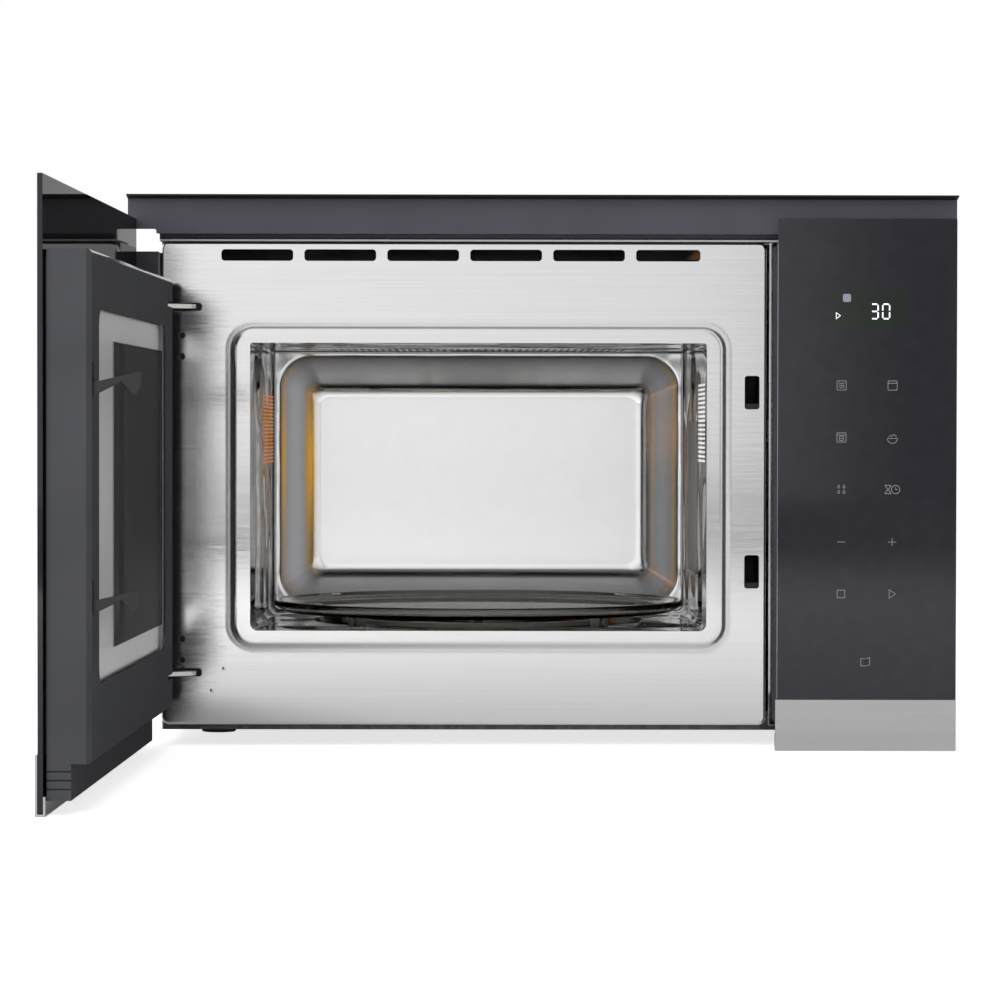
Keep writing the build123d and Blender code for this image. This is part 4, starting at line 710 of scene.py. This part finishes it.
def turned_tray():
    """Glass tray: a profile turned about the turntable's axis, with a flat base, a rim that rises in a
    soft bend and a rounded bead at its edge."""
    low, high = node_box("glass_tray")
    axis_y, bottom = (low[1] + high[1]) / 2, low[2]
    thick, slope_reach = 4.0, 9.0
    radius, rise = high[0] - OVEN_X, high[2] - low[2] - thick
    base_radius = radius - slope_reach
    flat = np.array([0.6, 60, 110])  # radii of rows on the flat base
    foot_bend, rim_bend, bead = 6.0, 2.0, 1.6
    profile = np.concatenate([
        np.stack([flat, np.full(3, thick)], -1),
        bend((0, thick), (base_radius, thick), (radius - thick, thick + rise), foot_bend, 8),
        bend((base_radius, thick), (radius - thick, thick + rise), (radius, thick + rise), rim_bend, 4),
        bend((radius - thick, thick + rise), (radius, thick + rise), (radius, rise), bead, 7),
        bend((radius, thick + rise), (radius, rise), (base_radius, 0), bead, 6),
        bend((radius, rise), (base_radius, 0), (0, 0), foot_bend, 8),
        np.stack([flat[::-1], np.zeros(3)], -1),
    ])
    turn = np.linspace(0, 2 * math.pi, 128, endpoint=False)
    points = np.stack([
        OVEN_X + profile[:, :1] * np.cos(turn), axis_y + profile[:, :1] * np.sin(turn),
        bottom + np.repeat(profile[:, 1:], len(turn), 1),
    ], -1).reshape(-1, 3)
    faces = [quad[::-1] for quad in skin(len(profile), len(turn))]
    last = (len(profile) - 1) * len(turn)
    faces += [list(range(len(turn))), list(range(last, last + len(turn)))[::-1]]
    tray = make_piece("tray_disc", points, faces, "turntable", finishes["tray_glass"])
    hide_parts("glass_tray")


RING_FRONT = node_box("face_plate")[0][1]
PLATE_FRONT = RING_FRONT + 2.4  # the ring stands out by as much


def ring_step():
    """Soft pressed step round the oven's raised ring: a closed profile carried round a rounded rectangle,
    whose front stays at the ring's level, falls in half a cosine wave and runs out to the plate in a
    second, shallow one. Pressing dulls the steel where it falls."""
    half_width, half_height, corner = HALF_WIDTH + 9.0, HALF_HEIGHT + 7.4, 12.2
    first, crest, foot, last = -1.7, 1.7, 5.7, 9.4
    hem = 0.04  # a last narrow row keeps the shading flat up to each edge
    front, shelf = RING_FRONT - 0.02, PLATE_FRONT - 0.12
    back, under = PLATE_FRONT - 0.01, PLATE_FRONT + 0.02
    wave = (1 - np.cos(math.pi * np.linspace(0, 1, 13))) / 2
    out = np.concatenate([[first, first + hem, 0.0], np.linspace(crest, foot, 13),
                          np.linspace(foot, last - hem, 13)[1:], [last, last, first]])
    depth = np.concatenate([[front] * 3, front + (shelf - front) * wave, shelf + (back - shelf) * wave[1:],
                            [back, under, under]])
    fall = np.concatenate([[0] * 3, np.clip(np.linspace(0, 4, 13), 0, 1), np.linspace(1, 0, 13)[1:],
                           [0] * 4])
    rows = []
    for reach, level in zip(out, depth):
        loop = rounded_loop(half_width + reach, half_height + reach, (corner + reach,) * 4)
        rows.append(np.stack([OVEN_X + loop[:, 0], np.full(len(loop), level), OVEN_Z + loop[:, 1]], -1))
    rows.append(rows[0])
    faces = skin(len(rows), len(rows[0]))
    material = brushed_steel("pressed step steel", *FACE_STEEL, pressed="fall")
    piece = make_piece("ring_step", np.concatenate(rows), faces, "body", material)
    carry_values(piece, fall=np.repeat(fall, len(rows[0])))
    add_weld(piece, "seam", 0.005)


def plate_dimples():
    """Two small punch marks in the face plate: shallow caps, a quarter wave across their radius."""
    reach, height, root = 1.4, 0.45, PLATE_FRONT + 0.01
    rings, sides = 6, 24
    radius = np.linspace(0.02, reach, rings)[:, None]
    turn = np.linspace(0, 2 * math.pi, sides, endpoint=False)[None]
    depth = root - height * np.cos(radius / reach * math.pi / 2) + 0 * turn
    points, faces = [], []
    for x, z in ((-231.0, 47.9), (-239.7, 31.9)):
        base = sum(len(p) for p in points)
        cap = np.stack([x + radius * np.cos(turn), depth, z + radius * np.sin(turn)], -1)
        points.append(cap.reshape(-1, 3))
        faces += [[i + base for i in quad] for quad in skin(rings, sides)]
        faces.append([base + i for i in range(sides)][::-1])
        faces.append([base + (rings - 1) * sides + i for i in range(sides)])
    make_piece("plate_dimples", np.concatenate(points), faces, "body", finishes["face_steel"])


def back_print():
    """Black print behind the door's outer pane: a thin closed sheet, its outline a rounded rectangle swung
    with the door from where it lies when shut to where the door stands open."""
    left, right, bottom, top = -296.6, 165.1, -8.1, 373.1
    front, back = -16.82, -16.75
    hinge_x, hinge_y, swing = -288.2, -12.0, math.radians(-91.4)
    loop = rounded_loop((right - left) / 2, (top - bottom) / 2, (1.0,) * 4, 4)
    loop = loop + np.array([(left + right) / 2, (bottom + top) / 2])
    rows = []
    for depth in (front, back):
        x, y = loop[:, 0] - hinge_x, np.full(len(loop), depth - hinge_y)
        rows.append(np.stack([hinge_x + x * math.cos(swing) - y * math.sin(swing),
                              hinge_y + x * math.sin(swing) + y * math.cos(swing), loop[:, 1]], -1))
    count = len(loop)
    faces = skin(2, count)
    faces += [list(range(count))[::-1], list(range(count, 2 * count))]
    material = back_printed_glass("door back print", grey(0.006), grey(0.009), 0.02, index=1.05, marks=0.03)
    make_piece("door_back_print", np.concatenate(rows), faces, "door", material, smooth=False)


def latch_hood():
    """Black hood behind the two latch slots, on the rear edge of the latch bracket: a quarter ellipse in
    plan, drawn up along the bracket and flattened towards both ends by an eighth power."""
    low, high = node_box("latch_bracket")
    right, back = high[0] - 1.4, high[1] - 0.4
    middle, half_height = (low[2] + high[2]) / 2, (high[2] - low[2]) / 2 - 1.45
    width, end_depth, extra_depth = 18.5, 0.6, 3.4
    turn = np.linspace(0, math.pi / 2, 10)[None]
    up = np.linspace(-1, 1, 25)[:, None]
    points = np.stack([
        right - width * (1 - np.cos(turn)) + 0 * up,
        back + np.sin(turn) * (end_depth + extra_depth * (1 - up ** 8)),
        middle + half_height * up + 0 * turn,
    ], -1).reshape(-1, 3)
    hood = make_piece("latch_hood", points, skin(25, 10, False), "body",
                      finishes["black_plastic"])
    add_wall(hood, 1.0, 0.0)


turned_tray()
latch_hood()
ring_step()
plate_dimples()
back_print()


# Control panel: display and printed symbols

FRONT = node_box("control_glass")[0][1]


def stroke(points, width, closed=False):
    """A flat line of this width: each point moves half a width to both sides along the mitre of its two
    runs."""
    points = np.asarray(points, float)
    ahead = np.roll(points, -1, 0) - points
    behind = points - np.roll(points, 1, 0)
    if not closed:
        ahead[-1], behind[0] = behind[-1], ahead[0]
    ahead = ahead / np.linalg.norm(ahead, axis=1)[:, None]
    behind = behind / np.linalg.norm(behind, axis=1)[:, None]
    normal = np.stack([-(ahead + behind)[:, 1], (ahead + behind)[:, 0]], -1)
    normal = normal / np.linalg.norm(normal, axis=1)[:, None]
    lean = np.maximum((normal * np.stack([-ahead[:, 1], ahead[:, 0]], -1)).sum(1), 0.35)
    offset = normal * (width / 2 / lean)[:, None]
    edge = np.concatenate([points + offset, points - offset])
    count = len(points)
    runs = np.arange(count if closed else count - 1)
    following = (runs + 1) % count
    return edge, np.stack([runs, runs + count, following + count, following], -1)


def arc(cx, cz, radius, start, end, steps=14):
    """Points round a part of a circle, in degrees."""
    angle = np.radians(np.linspace(start, end, steps))
    return np.stack([cx + radius * np.cos(angle), cz + radius * np.sin(angle)], -1)


def ring(cx, cz, half, corner=0.6):
    """The outline of a small rounded square."""
    return rounded_loop(half, half, (corner,) * 4, 4) + np.array([cx, cz])


def printed(name, shapes, depth, material):
    """Flat shapes on the panel, each a pair of points (X, Z) and faces, joined to one mesh that faces
    forward."""
    points, faces, base = [], [], 0
    for edge, quads in shapes:
        points.append(np.stack([edge[:, 0], np.full(len(edge), depth), edge[:, 1]], -1))
        faces += [[int(i) + base for i in quad] for quad in quads]
        base += len(edge)
    piece = make_piece(name, np.concatenate(points), faces, "body", material, smooth=False)
    for face in [p for p in piece.data.polygons if p.normal.y > 0]:
        face.flip()
    piece.data.update()


def symbols():
    """Thin printed symbols: two columns of five and one below."""
    left, right = 214.3, 250.9
    line, half = 0.45, 3.3
    shapes = []

    def draw(points, closed=False, width=line):
        shapes.append(stroke(points, width, closed))

    z = 253.9
    draw(ring(left, z, half), True)
    for level in (-1.5, 0.0, 1.5):
        x = np.linspace(-2.1, 2.1, 15)
        draw(np.stack([left + x, z + level + 0.35 * np.sin(x * 3.0)], -1), width=0.4)
    draw(ring(right, z, half), True)
    draw([(right - half, z + 1.6), (right + half, z + 1.6)])
    z = 216.6
    draw(ring(left, z, half), True)
    draw([(left - half, z + 1.7), (left + half, z + 1.7)])
    draw(ring(left, z - 0.7, 1.5, 0.4), True)
    draw([(left - 1.5, z - 0.7), (left + 1.5, z - 0.7)], width=0.4)
    draw(arc(right, z - 0.6, 3.6, 180, 360))
    draw([(right - 3.9, z - 0.6), (right + 3.9, z - 0.6)])
    draw(arc(right + 1.0, z + 0.4, 1.6, 0, 180))
    draw(arc(right - 1.6, z + 0.3, 1.0, 20, 180))
    z = 179.3
    for dx in (-1.9, 1.9):
        for dz in (-1.7, 2.2):
            tip = (left + dx, z + dz + 1.2)
            draw(np.concatenate([arc(left + dx, z + dz - 0.5, 0.75, 150, 390, 10), [tip]]), True, 0.4)
    draw([(right - 5.2, z + 3), (right - 1.0, z + 3), (right - 2.8, z), (right - 1.0, z - 3),
          (right - 5.2, z - 3), (right - 3.4, z)], True)
    draw(arc(right + 2.4, z, 3.0, 0, 345, 28), True)
    draw([(right + 2.4, z + 1.8), (right + 2.4, z), (right + 3.8, z)], width=0.4)
    z = 141.6
    draw([(left - 2.9, z), (left + 2.9, z)])
    draw([(right - 2.9, z), (right + 2.9, z)])
    draw([(right, z - 2.9), (right, z + 2.9)])
    z = 104.3
    draw(ring(left, z, 2.7, 0.2), True)
    draw([(right - 2.0, z + 3.1), (right + 2.5, z), (right - 2.0, z - 3.1)], True)
    x, z = 231.9, 55.2
    draw([(x - 3.2, z + 2.6), (x + 0.4, z + 2.6), (x + 0.4, z - 2.6), (x - 3.2, z - 2.6)], True)
    draw([(x + 0.4, z + 2.6), (x + 3.2, z + 3.4), (x + 3.2, z - 1.8), (x + 0.4, z - 2.6)], True)
    return shapes


def display_marks():
    """The lit figures of the display: upright seven-segment strokes with gaps between them, and a start
    sign."""
    cell, base, inset, width = np.array([4.9, 5.2]), 301.8, 0.6, 0.95
    lit_strokes = {"3": "abcdg", "0": "abcdef"}
    segments = {"a": ((0, 2), (1, 2)), "b": ((1, 2), (1, 1)), "c": ((1, 1), (1, 0)), "d": ((0, 0), (1, 0)),
                "e": ((0, 0), (0, 1)), "f": ((0, 1), (0, 2)), "g": ((0, 1), (1, 1))}
    shapes = []
    for figure, x in (("3", 235.4), ("0", 243.6)):
        for letter in lit_strokes[figure]:
            ends = np.array(segments[letter], float) * cell
            along = ends[1] - ends[0]
            along = along / np.linalg.norm(along)
            ends = ends + np.array([along * inset, -along * inset])
            shapes.append(stroke(ends + np.array([x, base]), width))
    shapes.append(stroke([(210.3, 306.0), (213.2, 303.9), (210.3, 301.8)], 0.4, True))
    return shapes


def display_sign():
    """A small filled square: one ring inside another."""
    x, z = 217.9, 316.6
    return [stroke(ring(x, z, 2.3, 0.8), 1.1, True), stroke(ring(x, z, 1.0, 0.4), 1.3, True)]


def display_window():
    """The dark window of the display, as one rounded face."""
    low, high = node_box("display_module")
    lift, corner = 0.05, 0.8
    (x, _, z), (half_width, _, half_height) = (low + high) / 2, (high - low) / 2
    edge = rounded_loop(half_width, half_height, (corner,) * 4, 4) + np.array([x, z + lift])
    return [(edge, [list(range(len(edge)))])]


printed("panel_symbols", symbols(), FRONT - 0.03, moulded("symbol print", grey(0.20), grey(0.25), 0.5))
printed("display_figures", display_marks(), FRONT - 0.05,
        lit("display figures", grey(0.7), (0.80, 0.90, 1.0), 1.0))
printed("display_sign", display_sign(), FRONT - 0.05,
        lit("display sign", (0.12, 0.12, 0.15), (0.36, 0.38, 0.50), 0.5))
printed("display_window", display_window(), FRONT - 0.02,
        back_printed_glass("display print", (0.012, 0.016, 0.013), (0.015, 0.019, 0.016), 0.03))


# Stage, light and camera

def stage_plane():
    """A wide pale floor under the lowest edge: a flat grid whose far rim is out of view."""
    level, reach = round(cad_box[0][2] / MM, 3) - 0.4, 9000
    span = np.linspace(-reach, reach, 5)
    x, y = np.meshgrid(span, span, indexing="ij")
    points = np.stack([x, y, np.full_like(x, level)], -1).reshape(-1, 3)
    mesh = bpy.data.meshes.new("floor")
    mesh.from_pydata((points * MM).tolist(), [], skin(5, 5, False))
    material = bpy.data.materials.new("floor white")
    material.use_nodes = True
    tree = material.node_tree
    tree.nodes.clear()
    diffuse = put(tree, "ShaderNodeBsdfDiffuse", Color=(0.8, 0.8, 0.8, 1))
    rays = put(tree, "ShaderNodeLightPath").outputs
    seen = math_node(tree, "MAXIMUM", rays["Is Camera Ray"], rays["Is Transmission Ray"])
    mirrored = math_node(tree, "MULTIPLY", rays["Is Glossy Ray"], 0.05)
    glow = put(tree, "ShaderNodeEmission", Strength=math_node(tree, "MULTIPLY_ADD", seen, 0.75, mirrored))
    total = put(tree, "ShaderNodeAddShader", _0=diffuse.outputs[0], _1=glow.outputs[0])
    put(tree, "ShaderNodeOutputMaterial", Surface=total.outputs[0])
    mesh.materials.append(material)
    new_object("floor", mesh)


def set_world():
    """A white surrounding, full strength where it is seen, softer as light. Where it is mirrored it
    darkens a little from left to right, and a dark card stands on the right, both by the slope of the
    ray's heading, X over minus Y."""
    world = bpy.data.worlds.new("studio")
    bpy.context.scene.world = world
    world.use_nodes = True
    tree = world.node_tree
    tree.nodes.clear()
    rays = put(tree, "ShaderNodeLightPath").outputs
    across, away, _ = split_place(tree, put(tree, "ShaderNodeTexCoord").outputs["Generated"])
    ahead = math_node(tree, "MAXIMUM", math_node(tree, "MULTIPLY", away, -1.0), 0.05)
    slope = math_node(tree, "DIVIDE", across, ahead)
    steps = [graded(tree, slope, start, end, 0.0, depth, "SMOOTHSTEP")
             for start, end, depth in ((-0.08, 0.09, 0.13), (0.075, 0.125, 0.62), (0.135, 0.155, -0.62))]
    fall = math_node(tree, "ADD", steps[0], math_node(tree, "ADD", steps[1], steps[2]))
    forward = math_node(tree, "LESS_THAN", away, 0.0)
    mirrored = math_node(tree, "SUBTRACT", 1.0, math_node(tree, "MULTIPLY", fall, forward))
    seen = math_node(tree, "MAXIMUM", rays["Is Camera Ray"], rays["Is Transmission Ray"])
    open_light = graded(tree, seen, 0.0, 1.0, 0.32, 1.0)
    strength = put(tree, "ShaderNodeMix", _0=rays["Is Glossy Ray"], _2=open_light, _3=mirrored).outputs[0]
    glow = put(tree, "ShaderNodeBackground", Color=(1, 1, 1, 1), Strength=strength)
    put(tree, "ShaderNodeOutputWorld", Surface=glow.outputs[0])


def soft_lamp(name, place, target, size, power):
    """A square soft lamp aimed at a point, in metres, which no surface mirrors."""
    data = bpy.data.lights.new(name, "AREA")
    data.shape, data.size, data.energy = "SQUARE", size, power
    lamp = new_object(name, data)
    lamp.visible_glossy = False
    lamp.location = place
    lamp.rotation_mode = "QUATERNION"
    lamp.rotation_quaternion = (Vector(target) - Vector(place)).to_track_quat("-Z", "Y")


def set_camera():
    """The camera of the photograph: place, heading and lens as fitted to the front, the plate and the
    door."""
    place = Vector((-44.66, -2590.93, 221.82)) * MM
    yaw, pitch, roll = (math.radians(a) for a in (0.25, 1.06, 0.09))
    focal, photo_width, sensor = 3585.24, 992, 36.0  # pixels, pixels, millimetres
    forward = Vector((math.sin(yaw) * math.cos(pitch), math.cos(yaw) * math.cos(pitch), -math.sin(pitch)))
    right = Vector((math.cos(yaw), -math.sin(yaw), 0))
    up = right.cross(forward)
    right, up = right * math.cos(roll) + up * math.sin(roll), up * math.cos(roll) - right * math.sin(roll)
    data = bpy.data.cameras.new("camera")
    data.sensor_width = sensor
    data.lens = focal / photo_width * sensor
    data.clip_start, data.clip_end = 0.05, 50
    camera = new_object("camera", data)
    turn = Matrix((right, up, -forward)).transposed().to_4x4()
    camera.matrix_world = Matrix.Translation(place) @ turn
    bpy.context.scene.camera = camera


stage_plane()
set_world()
soft_lamp("key", place=(-0.6, -2.4, 2.5), target=(0, 0.1, 0.18), size=2.4, power=75)
soft_lamp("fill", place=(-1.4, -3.0, 0.8), target=(0, 0.1, 0.18), size=1.6, power=40)
set_camera()
bpy.context.scene.view_settings.view_transform = "Standard"
